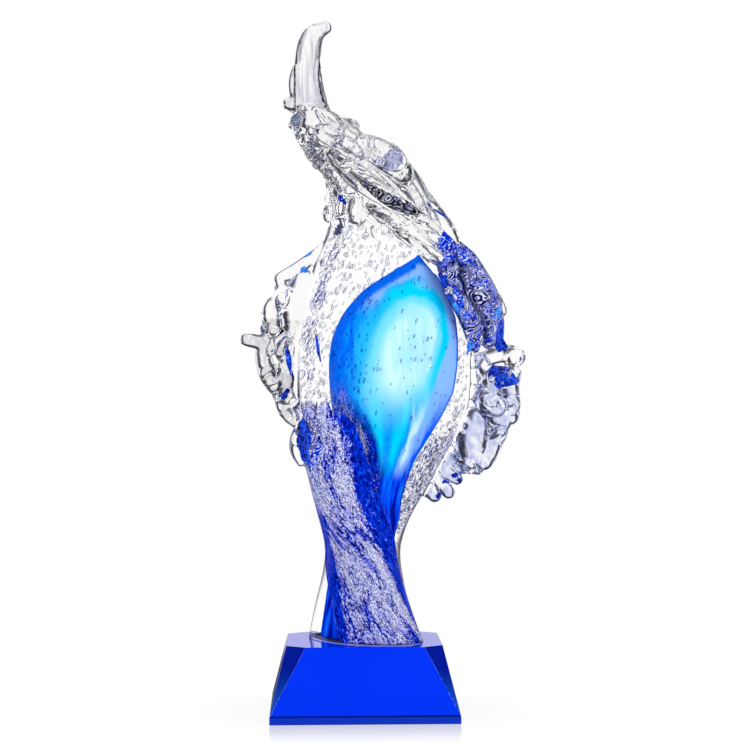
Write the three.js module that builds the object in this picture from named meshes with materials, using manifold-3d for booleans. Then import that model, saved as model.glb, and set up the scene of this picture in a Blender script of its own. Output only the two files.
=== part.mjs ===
// A free-standing glass award: a hand-worked sculpture of cased glass, bonded to a
// bevelled cobalt crystal base. The sculpture rises from a flat-cut foot as a twisted
// oval stem, opens into a broad blade with a coloured flame inside, and ends in a crown
// of clear ropes, a curved horn and applied folds, lobes and drips along both edges.
// Millimetres, +Z up. X is across the award, and the front faces -Y.
// The origin is the middle of the base's underside.

import * as THREE from 'three';
import { ConvexGeometry } from 'three/addons/geometries/ConvexGeometry.js';
import { mergeVertices } from 'three/addons/utils/BufferGeometryUtils.js';
import Module from 'manifold-3d';

const wasm = await Module();
wasm.setup();

// Base block: a tapered slab of crystal with its four upright corners cut away.
const BASE_WIDTH = 114.3;
const BASE_DEPTH = 84;
const BASE_HEIGHT = 44.3;
const BASE_BAND = 4.3; // upright band round the foot of the block
const BASE_ARRIS = 0.8; // small bevel where the band meets the underside
const BASE_TOP_WIDTH = 94.5;
const BASE_TOP_DEPTH = 62.8;
const CORNER_CUT_X = 11.5; // how far each corner facet runs in along the top's front edge
const CORNER_CUT_Y = 7; // and back along the top's side edge

// Adhesive film between the block and the sculpture's ground foot.
const FILM_THICKNESS = 0.5;
const FILM_INSET = 0.8; // the film stops short of the foot's rim

// Space left between pieces that seat on or inside each other.
const SEAT_GAP = 0.3;

// Sculpture: how far the blade rises from its cut foot to its last section, and half the
// length and half the thickness of its fullest sections.
const BLADE_RISE = 329;
const BLADE_HALF_WIDTH = 55;
const BLADE_HALF_DEPTH = 27;

// Horn: how far its tip rises over its root, and how far the root sits below the blade's
// top and in from its left edge.
const HORN_RISE = 62.5;
const HORN_ROOT_DEPTH = 13;
const HORN_ROOT_INSET = 12;

// How finely the hand-formed surfaces are faceted.
const BLADE_SIDES = 24;
const BLADE_RINGS = 30;
const LAYER_SIDES = 14;
const LAYER_RINGS = 16;
const ROPE_SIDES = 8;
const FLUTE_SIDES = 4; // facets across each fold of a fluted rope
const ROPE_STEP = 10; // spacing of the rings along a rope
const CAP_ANGLES = [42];

// Rounded top of a layer: its height over the half thickness there, and the ring halfway
// round it, drawn in towards the middle and raised by these shares.
const DOME_RISE = 0.55;
const DOME_RING_INSET = 0.42;
const DOME_RING_RISE = 0.7;
const FOOT_OVERRUN = 2; // a layer used as a cutter runs this far past the foot

// Clear outer body. Each station is a turned oval section at a height over the cut foot:
// its centre, its half length, its half thickness and its turn about Z in degrees. All
// tables and heights below are set out on this blade and stretch with its named sizes.
const BLADE = [
  { h: 0, x: 1.3, y: 0, long: 38, thick: 24, turn: -30 },
  { h: 20, x: -0.6, y: 0.5, long: 35.5, thick: 24, turn: -50 },
  { h: 40, x: -0.6, y: 1, long: 34, thick: 22.5, turn: -68 },
  { h: 55, x: -0.8, y: 1.5, long: 34, thick: 22.7, turn: -84 },
  { h: 70, x: 0.3, y: 2, long: 38, thick: 26, turn: -106 },
  { h: 86, x: 3, y: 2, long: 43, thick: 27, turn: -128 },
  { h: 101, x: 5.8, y: 1.5, long: 47, thick: 27, turn: -140 },
  { h: 117, x: 8, y: 1, long: 51, thick: 26.5, turn: -150 },
  { h: 140, x: 12.8, y: 0, long: 55, thick: 26, turn: -162 },
  { h: 179, x: 13, y: -1, long: 54.8, thick: 25, turn: -172 },
  { h: 198, x: 14.5, y: -1.5, long: 53, thick: 24, turn: -176 },
  { h: 215, x: 16, y: -2, long: 50, thick: 22.5, turn: -178 },
  { h: 233, x: 15.8, y: -2, long: 46, thick: 21, turn: -180 },
  { h: 253, x: 15.5, y: -1.5, long: 36, thick: 19, turn: -184 },
  { h: 268, x: 10, y: -1, long: 32, thick: 18, turn: -187 },
  { h: 287, x: 3.5, y: 0, long: 26.4, thick: 17, turn: -190 },
  { h: 302, x: -10.5, y: 1, long: 24, thick: 16, turn: -192 },
  { h: 318, x: -25, y: 2, long: 18, thick: 13, turn: -194 },
  { h: 329, x: -32.5, y: 2.5, long: 10, thick: 8, turn: -195 },
];

// Cobalt layer: the flame's outer skin. It turns with the blade.
const FLAME = [
  { h: 0, x: 1.3, long: 30, thick: 17 },
  { h: 30, x: -0.6, long: 27.5, thick: 16 },
  { h: 55, x: -0.8, long: 27, thick: 17 },
  { h: 75, x: 1.6, long: 30, thick: 18 },
  { h: 98, x: 9, long: 31, thick: 18.5 },
  { h: 117, x: 14, long: 33.5, thick: 18.5 },
  { h: 140, x: 16.7, long: 38, thick: 19 },
  { h: 166, x: 18.2, long: 41, thick: 19 },
  { h: 187, x: 19.5, long: 39.5, thick: 18 },
  { h: 208, x: 23.5, long: 32, thick: 15.5 },
  { h: 223, x: 28.5, long: 20, thick: 11 },
  { h: 231, x: 32, long: 8, thick: 5 },
];

// Aqua layer, inside the cobalt one.
const HEART = [
  { h: 0, x: 1.3, long: 12, thick: 6 },
  { h: 55, x: -0.8, long: 10.5, thick: 5.5 },
  { h: 86, x: 7, long: 13, thick: 7 },
  { h: 117, x: 15.5, long: 20, thick: 11 },
  { h: 147, x: 18.5, long: 29, thick: 14 },
  { h: 166, x: 20, long: 33, thick: 15 },
  { h: 186, x: 21, long: 31.5, thick: 13.5 },
  { h: 201, x: 23.5, long: 23, thick: 10.5 },
  { h: 211, x: 28, long: 8, thick: 5 },
];

// Opal centre, inside the aqua layer.
const OPAL = [
  { h: 0, x: 1.3, long: 5.5, thick: 2.8 },
  { h: 55, x: -0.5, long: 4.5, thick: 2.4 },
  { h: 86, x: 7.5, long: 6, thick: 3.4 },
  { h: 117, x: 17, long: 11, thick: 6 },
  { h: 147, x: 21, long: 20, thick: 9 },
  { h: 168, x: 22.5, long: 25, thick: 10 },
  { h: 186, x: 23.5, long: 21, thick: 8.5 },
  { h: 198, x: 26.5, long: 8, thick: 4 },
];

// Catmull-Rom value of one field of a table of stations at a height.
function fieldAt(stations, field, height) {
  const last = stations.length - 1;
  let i = 0;
  while (i < last - 1 && height > stations[i + 1].h) i += 1;
  const from = stations[i];
  const to = stations[i + 1];
  const before = stations[Math.max(i - 1, 0)];
  const after = stations[Math.min(i + 2, last)];
  const span = to.h - from.h;
  const t = THREE.MathUtils.clamp((height - from.h) / span, 0, 1);
  const slopeIn = ((to[field] - before[field]) / (to.h - before.h)) * span;
  const slopeOut = ((after[field] - from[field]) / (after.h - from.h)) * span;
  const t2 = t * t;
  const t3 = t2 * t;
  return (
    (2 * t3 - 3 * t2 + 1) * from[field] +
    (t3 - 2 * t2 + t) * slopeIn +
    (-2 * t3 + 3 * t2) * to[field] +
    (t3 - t2) * slopeOut
  );
}

function topOf(stations) {
  return stations[stations.length - 1].h;
}

function fullest(stations, field) {
  return Math.max(...stations.map((station) => station[field]));
}

// How far the tables are stretched along each axis of the sculpture.
const STRETCH_UP = BLADE_RISE / topOf(BLADE);
const STRETCH_ACROSS = BLADE_HALF_WIDTH / fullest(BLADE, 'long');
const STRETCH_DEEP = BLADE_HALF_DEPTH / fullest(BLADE, 'thick');

// One stretched section of a layer at a height of its table. It takes its turn and its
// place front to back from the blade, because it lies inside it.
function sectionAt(stations, height) {
  return {
    x: fieldAt(stations, 'x', height) * STRETCH_ACROSS,
    y: fieldAt(BLADE, 'y', height) * STRETCH_DEEP,
    z: height * STRETCH_UP,
    long: fieldAt(stations, 'long', height) * STRETCH_ACROSS,
    thick: fieldAt(stations, 'thick', height) * STRETCH_DEEP,
    turn: THREE.MathUtils.degToRad(fieldAt(BLADE, 'turn', height)),
  };
}

// One oval ring at a height, set out level and turned with the blade.
function ovalRing(stations, height, sides, grow) {
  const { x, y, z, long, thick, turn } = sectionAt(stations, height);
  const ring = [];
  for (let i = 0; i < sides; i += 1) {
    const angle = (i / sides) * Math.PI * 2;
    const along = (long + grow) * Math.cos(angle);
    const across = (thick + grow) * Math.sin(angle);
    ring.push(
      new THREE.Vector3(
        x + along * Math.cos(turn) - across * Math.sin(turn),
        y + along * Math.sin(turn) + across * Math.cos(turn),
        z,
      ),
    );
  }
  return ring;
}

function centreOf(ring) {
  const sum = ring.reduce((total, p) => total.add(p), new THREE.Vector3());
  return sum.divideScalar(ring.length);
}

// A closed skin through rings of equal count, drawn to a point at each end.
function skin(rings, firstPole, lastPole) {
  const sides = rings[0].length;
  const points = [firstPole, ...rings.flat(), lastPole];
  const faces = [];
  const at = (ring, side) => 1 + ring * sides + (side % sides);
  for (let s = 0; s < sides; s += 1) {
    faces.push(0, at(0, s + 1), at(0, s));
    for (let r = 0; r < rings.length - 1; r += 1) {
      faces.push(at(r, s), at(r, s + 1), at(r + 1, s + 1));
      faces.push(at(r, s), at(r + 1, s + 1), at(r + 1, s));
    }
    faces.push(points.length - 1, at(rings.length - 1, s), at(rings.length - 1, s + 1));
  }
  const geometry = new THREE.BufferGeometry();
  geometry.setFromPoints(points);
  geometry.setIndex(faces);
  return geometry;
}

function toSolid(geometry) {
  const bare = geometry.clone();
  bare.deleteAttribute('normal');
  bare.deleteAttribute('uv');
  const merged = mergeVertices(bare, 1e-4);
  const solid = new wasm.Manifold(
    new wasm.Mesh({
      numProp: 3,
      vertProperties: new Float32Array(merged.attributes.position.array),
      triVerts: new Uint32Array(merged.index.array),
    }),
  );
  return solid;
}

function toGeometry(solid) {
  const mesh = solid.getMesh();
  const geometry = new THREE.BufferGeometry();
  geometry.setAttribute('position', new THREE.BufferAttribute(mesh.vertProperties, 3));
  geometry.setIndex(new THREE.BufferAttribute(mesh.triVerts, 1));
  geometry.computeVertexNormals();
  return geometry;
}

// A twisted oval layer from its cut foot to its rounded top. A grown copy is used as a
// cutter, so it also runs past the foot.
function layer(stations, sides, ringCount, grow = 0) {
  const top = topOf(stations);
  const rings = [];
  if (grow > 0) {
    rings.push(ovalRing(stations, 0, sides, grow).map((p) => p.setZ(-FOOT_OVERRUN)));
  }
  for (let i = 0; i < ringCount; i += 1) {
    rings.push(ovalRing(stations, (top * i) / (ringCount - 1), sides, grow));
  }
  const crown = ovalRing(stations, top, sides, grow);
  const middle = centreOf(crown);
  const rise = (sectionAt(stations, top).thick + grow) * DOME_RISE;
  const shoulder = middle.z + rise * DOME_RING_RISE;
  rings.push(crown.map((p) => p.lerp(middle, DOME_RING_INSET).setZ(shoulder)));
  const foot = centreOf(rings[0]);
  const tip = middle.clone().setZ(middle.z + rise);
  return toSolid(skin(rings, foot, tip));
}

// The blade's turned oval at a height, as seen from the front: its centre, half its
// width along X, how far its edges swing back, and its half thickness at the centre.
function bladeAt(height) {
  const { x, y, z, long, thick, turn } = sectionAt(BLADE, height);
  const half = Math.hypot(long * Math.cos(turn), thick * Math.sin(turn));
  return {
    x,
    y,
    z,
    half,
    swing: ((long * long - thick * thick) * Math.sin(turn) * Math.cos(turn)) / half,
    depth: (long * thick) / half,
  };
}

// A point by the blade's left (-1) or right (+1) edge: out is beyond the edge, and
// forward is towards the front.
function rim(side, height, out, forward = 0) {
  const { x, y, z, half, swing } = bladeAt(height);
  return new THREE.Vector3(x + side * (half + out), y + side * swing - forward, z);
}

// A point over the blade's front (+1) or back (-1) face: across is -1 at the left edge
// and +1 at the right one, and lift is how far it stands off the glass.
function face(side, height, across, lift = 0) {
  const { x, y, z, half, swing, depth } = bladeAt(height);
  const out = depth * Math.sqrt(Math.max(1 - across * across, 0)) + lift;
  return new THREE.Vector3(x + across * half, y + across * swing - side * out, z);
}

// A rope of glass along a smooth path, with a radius at each of its points and round
// ends. deep stretches its section front to back, and flutes gives it that many
// lengthwise folds.
function rope({ path, radii, deep = 1, flutes = 0, flute = 0.12 }, grow = 0) {
  const curve = new THREE.CatmullRomCurve3(path, false, 'centripetal');
  const steps = Math.max(path.length, Math.round(curve.getLength() / ROPE_STEP));
  const frames = curve.computeFrenetFrames(steps);
  const stations = radii.map((r, i) => ({ h: i / (radii.length - 1), r }));
  const sides = flutes ? flutes * FLUTE_SIDES : ROPE_SIDES;
  const ringAt = (centre, i, radius) => {
    const ring = [];
    for (let s = 0; s < sides; s += 1) {
      const angle = (s / sides) * Math.PI * 2;
      const fold = 1 + (flutes ? flute * Math.cos(flutes * angle) : 0);
      ring.push(
        centre
          .clone()
          .addScaledVector(frames.normals[i], radius * deep * fold * Math.cos(angle))
          .addScaledVector(frames.binormals[i], radius * fold * Math.sin(angle)),
      );
    }
    return ring;
  };
  const radiusAt = (t) => fieldAt(stations, 'r', t) + grow;
  const cap = (i, way) => {
    const centre = curve.getPoint(i / steps);
    const radius = radiusAt(i / steps);
    return CAP_ANGLES.map((degrees) => {
      const angle = THREE.MathUtils.degToRad(degrees);
      const shifted = centre
        .clone()
        .addScaledVector(frames.tangents[i], way * radius * Math.sin(angle));
      return ringAt(shifted, i, radius * Math.cos(angle));
    });
  };
  const rings = cap(0, -1).reverse();
  for (let i = 0; i <= steps; i += 1) {
    rings.push(ringAt(curve.getPoint(i / steps), i, radiusAt(i / steps)));
  }
  rings.push(...cap(steps, 1));
  const start = curve.getPoint(0).addScaledVector(frames.tangents[0], -radiusAt(0));
  const end = curve.getPoint(1).addScaledVector(frames.tangents[steps], radiusAt(1));
  return toSolid(skin(rings, start, end));
}

// A point by the horn: how far up it is, as a share of the horn's rise, and how far it
// lies across and forward of the root.
function hornAt(share, across, forward = 0) {
  const root = rim(-1, topOf(BLADE) - HORN_ROOT_DEPTH, -HORN_ROOT_INSET);
  return root.add(new THREE.Vector3(across, -forward, share * HORN_RISE));
}

// Every applied piece of glass, in the order it is put on. Each is cut to seat on the
// blade and on the pieces before it.
const APPLIED = {
  horn: {
    path: [
      hornAt(0, 0),
      hornAt(0.18, -3),
      hornAt(0.38, -5, -0.5),
      hornAt(0.58, -5.2, -1),
      hornAt(0.78, -3.8, -1),
      hornAt(0.94, -1.5),
      hornAt(1, 6.5, 1),
    ],
    radii: [11, 8.8, 7.2, 6.9, 7.4, 6, 3.9],
    deep: 0.9,
    flutes: 4,
    flute: 0.1,
  },
  horn_leaf: {
    path: [hornAt(0.59, -11.8, 3), hornAt(0.4, -13.4, 4), hornAt(0.22, -9.5, 5)],
    radii: [2.2, 3.7, 2.8],
  },
  horn_strand_outer: {
    path: [hornAt(0.67, 1.8, 1), hornAt(0.48, 2.6, 2), hornAt(0.27, 5, 2), hornAt(0.08, 10, 2)],
    radii: [1.3, 1.8, 2.2, 2.8],
  },
  horn_strand_front: {
    path: [hornAt(0.43, 1.5, 5), hornAt(0.25, 4, 6.5), hornAt(0.08, 9, 8)],
    radii: [1.5, 2, 2.6],
  },
  horn_bead: {
    path: [hornAt(0.16, -8.5, 4), hornAt(0.23, -16.2, 4)],
    radii: [2.8, 4.1],
  },
  crown_nub: {
    path: [rim(-1, 320, -1.5, 4), rim(-1, 312, -2, 6), rim(-1, 303.5, -1, 6)],
    radii: [4, 4.3, 4.5],
  },
  crown_rope_back: {
    path: [
      face(-1, 310, -0.3, 0),
      face(-1, 292, 0.1, 2),
      face(-1, 268, 0.4, 2.5),
      face(-1, 242, 0.7, 2),
    ],
    radii: [5, 7.5, 7, 5],
  },
  crown_rope_outer: {
    path: [
      rim(1, 308, -3, -4),
      rim(1, 296, -2, -4),
      rim(1, 283.5, -3.5, -3),
      rim(1, 270, -4, -2),
      rim(1, 257, -1.5, -1),
      rim(1, 247, 0),
    ],
    radii: [4.5, 6.5, 7, 7, 6.5, 5],
    deep: 1.2,
    flutes: 3,
    flute: 0.08,
  },
  crown_dome: {
    path: [face(1, 303, 0.5, 0), face(1, 296.5, 0.7, 1), face(1, 287, 0.76, 0)],
    radii: [7.5, 10, 8],
  },
  crown_rope_front: {
    path: [
      face(1, 297.5, -0.51, 3),
      face(1, 283.5, -0.36, 4),
      face(1, 272, 0.05, 4.5),
      face(1, 261.5, 0.39, 4.5),
      face(1, 250.5, 0.68, 4),
      face(1, 240.5, 0.88, 4),
    ],
    radii: [4.5, 6.5, 6.5, 6, 5.5, 4.5],
    flutes: 3,
    flute: 0.1,
  },
  crown_rope_inner: {
    path: [
      face(1, 275.5, -0.55, 1),
      face(1, 265, -0.14, 2.5),
      face(1, 253.5, 0.17, 3),
      face(1, 241.5, 0.48, 3),
      face(1, 229, 0.71, 3),
    ],
    radii: [4, 5, 5, 4.5, 3],
  },
  crown_leaf: {
    path: [face(1, 256.5, 0.03, 1), face(1, 248.5, 0.21, 2), face(1, 239, 0.44, 1)],
    radii: [2.4, 4.6, 2.4],
  },
  crown_fold: {
    path: [face(1, 312, -0.29, 1), face(1, 304.5, -0.09, 2), face(1, 297.5, 0.08, 1)],
    radii: [5, 5.5, 4.5],
  },
  crown_chest: {
    path: [
      face(1, 302, -0.9, 1),
      face(1, 295.5, -0.82, 1),
      face(1, 288, -0.78, 1),
      face(1, 280, -0.72, 0),
    ],
    radii: [5.5, 7, 6.5, 5],
    flutes: 3,
  },
  crown_bead: {
    path: [rim(1, 318, -4, 3), rim(1, 316, -1.5, 3)],
    radii: [4.4, 4.3],
  },
  left_shoulder_lobe: {
    path: [face(1, 268, -0.4, 0), face(1, 261, -0.48, 0)],
    radii: [6.8, 7.3],
  },
  left_shoulder_link: {
    path: [face(1, 272, -0.66, 0), face(1, 264.5, -0.74, 0)],
    radii: [4.6, 4.8],
  },
  left_shoulder_bead_upper: {
    path: [rim(-1, 274.5, -2.5, 3), rim(-1, 272.5, -1.2, 3)],
    radii: [3.8, 3.9],
  },
  left_shoulder_bead_lower: {
    path: [rim(-1, 264.5, -1, 2), rim(-1, 261.5, 0, 2)],
    radii: [4.9, 5],
  },
  left_wing_rim: {
    path: [
      rim(-1, 255, -1),
      rim(-1, 243, -2.5),
      rim(-1, 236, 2.5, 1),
      rim(-1, 229, 8.5, 1),
      rim(-1, 222, 19, 1),
    ],
    radii: [2.4, 2.8, 3.6, 4, 4],
  },
  left_wing_dome: {
    path: [
      rim(-1, 220, 3.5, -2),
      rim(-1, 209, 3.5),
      rim(-1, 198.5, 3.5, 1),
      rim(-1, 190, 3.5),
    ],
    radii: [8.5, 11, 10.5, 8],
  },
  left_wing_knuckle: {
    path: [rim(-1, 217.5, 17, 3), rim(-1, 211.5, 15, 4), rim(-1, 205, 14.5, 4)],
    radii: [4.6, 5.4, 5],
  },
  left_wing_lobe: {
    path: [rim(-1, 206.5, 19.5, -2), rim(-1, 199.5, 19.5, -3), rim(-1, 192, 15, -2)],
    radii: [5.2, 6.8, 6],
  },
  left_finger: {
    path: [
      rim(-1, 184.5, 31, 3),
      rim(-1, 183, 22.5, 3),
      rim(-1, 181, 13.5, 2),
      rim(-1, 177, 4.5),
    ],
    radii: [4.2, 4.6, 5.4, 6],
  },
  left_finger_collar: {
    path: [rim(-1, 191.5, 20, 5), rim(-1, 187, 12, 5), rim(-1, 179.5, 6.5, 4)],
    radii: [4.4, 5, 4.8],
  },
  left_finger_fold: {
    path: [
      rim(-1, 176.5, 20.5, -1),
      rim(-1, 168.5, 19, -2),
      rim(-1, 160, 15.5, -1),
      rim(-1, 153, 12.5),
    ],
    radii: [4.6, 5.8, 5.4, 3.6],
    flutes: 3,
  },
  left_column: {
    path: [
      rim(-1, 179.5, 1, 1),
      rim(-1, 168.5, 5, -1),
      rim(-1, 157, 6.5, 1),
      rim(-1, 149, 5, 2),
    ],
    radii: [5, 6.8, 6.5, 5],
  },
  left_hook: {
    path: [
      rim(-1, 146.5, 11, 3),
      rim(-1, 140.5, 9, 3),
      rim(-1, 136, 3.5, 4),
      rim(-1, 132.5, -1.5, 5),
    ],
    radii: [3, 3.6, 4.2, 3.6],
  },
  left_hook_loop: {
    path: [rim(-1, 146.5, 2.5, 6), rim(-1, 140.5, -2.5, 8), rim(-1, 134, -3.5, 8)],
    radii: [3, 3.2, 3],
  },
  left_lower_curl: {
    path: [rim(-1, 127.5, 1.5, 1), rim(-1, 120.5, 3, 1), rim(-1, 111, 1.5, 2)],
    radii: [3.6, 4.8, 3.8],
  },
  left_pocket_bead: {
    path: [face(1, 118, -0.82, 0), face(1, 115.5, -0.8, 0)],
    radii: [4.2, 4.2],
  },
  right_shoulder: {
    path: [
      rim(1, 238, -5),
      rim(1, 230.5, -1.5),
      rim(1, 219.5, 1, 1),
      rim(1, 207.5, 6.5, 1),
      rim(1, 196.5, 10),
      rim(1, 185.5, 12.5),
    ],
    radii: [9, 11, 12, 12, 10, 7.5],
    deep: 0.95,
    flutes: 4,
    flute: 0.08,
  },
  right_beak: {
    path: [rim(1, 211, 14.5, -2), rim(1, 203, 19, -1)],
    radii: [4.8, 3.6],
  },
  right_inner_fold: {
    path: [
      face(1, 213, 0.77, 3),
      face(1, 204.5, 0.88, 4),
      face(1, 194.5, 0.97, 4),
      face(1, 182, 1, 4),
    ],
    radii: [4.2, 6, 7, 6],
  },
  right_ridge: {
    path: [
      rim(1, 226.5, -7, 11),
      rim(1, 221, 2, 12),
      rim(1, 213, 9.5, 11),
      rim(1, 204, 14.5, 8),
    ],
    radii: [3.2, 3.6, 3.6, 3],
  },
  right_shoulder_bead: {
    path: [face(1, 215.5, 0.71, 1), face(1, 213, 0.73, 1)],
    radii: [3.1, 3.1],
  },
  right_tongue: {
    path: [
      rim(1, 171, 2, 5),
      rim(1, 174, 11.5, 6),
      rim(1, 176.5, 22, 5),
      rim(1, 174.5, 27.5, 3),
    ],
    radii: [4.6, 5, 5.8, 6.8],
  },
  right_column: {
    path: [rim(1, 164, 27, 1), rim(1, 157, 24.5), rim(1, 147.5, 25.5, -1), rim(1, 137.5, 27)],
    radii: [4.8, 5.8, 6.6, 6.8],
    flutes: 3,
  },
  right_cup: {
    path: [rim(1, 168, 9, -3), rim(1, 157, 13, -4), rim(1, 147.5, 13, -5)],
    radii: [6.5, 9, 8],
  },
  right_lobe_upper: {
    path: [rim(1, 152.5, 3.5, 4), rim(1, 144, 12, 5), rim(1, 133.5, 22.5, 4)],
    radii: [5.6, 7.8, 7.6],
  },
  right_lens: {
    path: [rim(1, 135, 6.5), rim(1, 123, 10.5, 1), rim(1, 113.5, 16, 1)],
    radii: [9, 12.5, 9.5],
    deep: 0.85,
  },
  right_lobe_lower: {
    path: [rim(1, 129, 26), rim(1, 119, 26.5, -1), rim(1, 109, 26.5, -1)],
    radii: [5.4, 6.8, 7],
  },
  right_lobe_rim: {
    path: [rim(1, 112.5, 7.5, 3), rim(1, 105.5, 17, 4), rim(1, 103, 26, 3)],
    radii: [3.4, 3.8, 3.4],
  },
  drip_first: {
    path: [rim(1, 110, 3.5, -3), rim(1, 103, 13, -3)],
    radii: [4.8, 3.8],
  },
  drip_second: {
    path: [rim(1, 105.5, 0, 3), rim(1, 97.5, 15.5, 4)],
    radii: [5.2, 4],
  },
  drip_third: {
    path: [rim(1, 100.5, -1, -2), rim(1, 89, 15.5, -2)],
    radii: [5.2, 4.5],
  },
  drip_fourth: {
    path: [rim(1, 95.5, -4.5, 4), rim(1, 87.5, 7, 5)],
    radii: [5.8, 4.8],
  },
};

function largestOf(solid) {
  const parts = solid.decompose();
  return parts.reduce((best, part) => (part.volume() > best.volume() ? part : best));
}

const FINISHES = {
  cobaltCrystal: { color: 0x0530e6, roughness: 0.04, metalness: 0 },
  clearGlass: { color: 0xeef2fa, roughness: 0.02, metalness: 0 },
  cobaltGlass: { color: 0x0a38f0, roughness: 0.04, metalness: 0 },
  aquaGlass: { color: 0x14c8ff, roughness: 0.06, metalness: 0 },
  opalGlass: { color: 0xdff6fc, roughness: 0.2, metalness: 0 },
  adhesive: { color: 0xe8ecf4, roughness: 0.1, metalness: 0 },
};

function named(name, geometry, finish) {
  const mesh = new THREE.Mesh(geometry, new THREE.MeshStandardMaterial(FINISHES[finish]));
  mesh.name = name;
  return mesh;
}

// The block is the hull of its underside, its upright band and its eight-sided top.
function makeBase() {
  const corners = [];
  for (const sx of [-1, 1]) {
    for (const sy of [-1, 1]) {
      const x = (sx * BASE_WIDTH) / 2;
      const y = (sy * BASE_DEPTH) / 2;
      const topX = (sx * BASE_TOP_WIDTH) / 2;
      const topY = (sy * BASE_TOP_DEPTH) / 2;
      corners.push(
        new THREE.Vector3(x - sx * BASE_ARRIS, y - sy * BASE_ARRIS, 0),
        new THREE.Vector3(x, y, BASE_ARRIS),
        new THREE.Vector3(x, y, BASE_BAND),
        new THREE.Vector3(topX - sx * CORNER_CUT_X, topY, BASE_HEIGHT),
        new THREE.Vector3(topX, topY - sy * CORNER_CUT_Y, BASE_HEIGHT),
      );
    }
  }
  return named('base_block', new ConvexGeometry(corners), 'cobaltCrystal');
}

function makeFilm() {
  const outline = ovalRing(BLADE, 0, BLADE_SIDES, -FILM_INSET);
  const shape = new THREE.Shape(outline.map((p) => new THREE.Vector2(p.x, p.y)));
  const film = new THREE.ExtrudeGeometry(shape, { depth: FILM_THICKNESS, bevelEnabled: false });
  const mesh = named('bond_film', film, 'adhesive');
  mesh.position.z = BASE_HEIGHT;
  return mesh;
}

function makeSculpture() {
  const sculpture = new THREE.Group();
  const flame = (grow) => layer(FLAME, LAYER_SIDES, LAYER_RINGS, grow);
  const heart = (grow) => layer(HEART, LAYER_SIDES, LAYER_RINGS, grow);
  const opal = (grow) => layer(OPAL, LAYER_SIDES, LAYER_RINGS, grow);
  const blade = layer(BLADE, BLADE_SIDES, BLADE_RINGS);
  const add = (name, solid, finish) => sculpture.add(named(name, toGeometry(solid), finish));
  add('clear_body', blade.subtract(flame(SEAT_GAP)), 'clearGlass');
  add('cobalt_layer', flame(0).subtract(heart(SEAT_GAP)), 'cobaltGlass');
  add('aqua_layer', heart(0).subtract(opal(SEAT_GAP)), 'aquaGlass');
  add('opal_core', opal(0), 'opalGlass');

  let seats = layer(BLADE, BLADE_SIDES, BLADE_RINGS, SEAT_GAP);
  for (const [name, form] of Object.entries(APPLIED)) {
    add(name, largestOf(rope(form).subtract(seats)), 'clearGlass');
    seats = seats.add(rope(form, SEAT_GAP));
  }
  sculpture.position.z = BASE_HEIGHT + FILM_THICKNESS;
  return sculpture;
}

const award = new THREE.Group();
award.name = 'glass_award';
award.add(makeBase(), makeFilm(), makeSculpture());

export default award;
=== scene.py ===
"""Looks of a free-standing glass award: twisted cased glass on a cobalt crystal base.

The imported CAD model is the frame. The faceted hot glass is rebuilt here as one fused,
smooth body and the blue flame inside it as a smooth loft through the same sections.
The seeds, the bubbles and the small bodies of colour are added. Everything is in metres.
"""

import logging
import math
from dataclasses import dataclass, field
from enum import Enum, IntEnum

import bmesh
import bpy
import numpy as np
from mathutils import Matrix, Vector, noise
from mathutils.bvhtree import BVHTree


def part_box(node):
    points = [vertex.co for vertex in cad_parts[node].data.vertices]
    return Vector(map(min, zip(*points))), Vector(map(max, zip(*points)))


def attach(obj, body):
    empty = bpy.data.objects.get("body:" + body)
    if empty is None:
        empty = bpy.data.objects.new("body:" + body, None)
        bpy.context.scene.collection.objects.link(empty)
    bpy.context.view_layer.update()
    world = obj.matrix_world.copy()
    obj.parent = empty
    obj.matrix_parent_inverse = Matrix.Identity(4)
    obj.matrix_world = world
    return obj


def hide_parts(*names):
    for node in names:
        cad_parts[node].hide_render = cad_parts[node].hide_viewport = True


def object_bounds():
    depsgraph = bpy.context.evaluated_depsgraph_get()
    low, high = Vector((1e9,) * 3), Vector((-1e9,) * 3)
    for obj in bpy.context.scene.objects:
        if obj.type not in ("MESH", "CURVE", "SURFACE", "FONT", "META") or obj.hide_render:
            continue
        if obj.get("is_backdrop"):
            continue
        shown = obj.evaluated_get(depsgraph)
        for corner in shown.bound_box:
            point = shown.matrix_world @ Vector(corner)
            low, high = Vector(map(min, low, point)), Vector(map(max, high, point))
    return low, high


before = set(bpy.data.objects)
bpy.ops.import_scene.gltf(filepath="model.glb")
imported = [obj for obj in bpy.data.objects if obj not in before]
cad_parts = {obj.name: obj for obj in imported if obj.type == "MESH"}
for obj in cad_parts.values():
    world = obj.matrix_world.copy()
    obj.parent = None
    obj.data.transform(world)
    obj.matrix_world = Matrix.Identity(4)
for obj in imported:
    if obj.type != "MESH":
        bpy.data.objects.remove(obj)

LOG = logging.getLogger("award")
BODY = "root"
MM = 0.001
RAY_START = 0.3

Colour = tuple[float, float, float]
Span = tuple[float, float]
Stops = list[tuple[float, Colour]]
Array = np.ndarray
Socket = bpy.types.NodeSocket
Node = bpy.types.Node
Mesh = bpy.types.Mesh
Piece = bpy.types.Object
Material = bpy.types.Material
Lump = bmesh.types.BMesh

WHITE: Colour = (1.0, 1.0, 1.0)


def rgb(red: int, green: int, blue: int) -> Colour:
    """Return a screen colour of 0 to 255 per channel as a linear one."""
    def linear(value: int) -> float:
        """Return one channel as linear light."""
        share = value / 255
        return share / 12.92 if share <= 0.04045 else ((share + 0.055) / 1.055) ** 2.4

    return linear(red), linear(green), linear(blue)


def smooth_step(low: float, high: float, value: Array) -> Array:
    """Return 0 at low and 1 at high, with a soft turn between them."""
    share = np.clip((value - low) / (high - low), 0.0, 1.0)
    return share * share * (3.0 - 2.0 * share)


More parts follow.
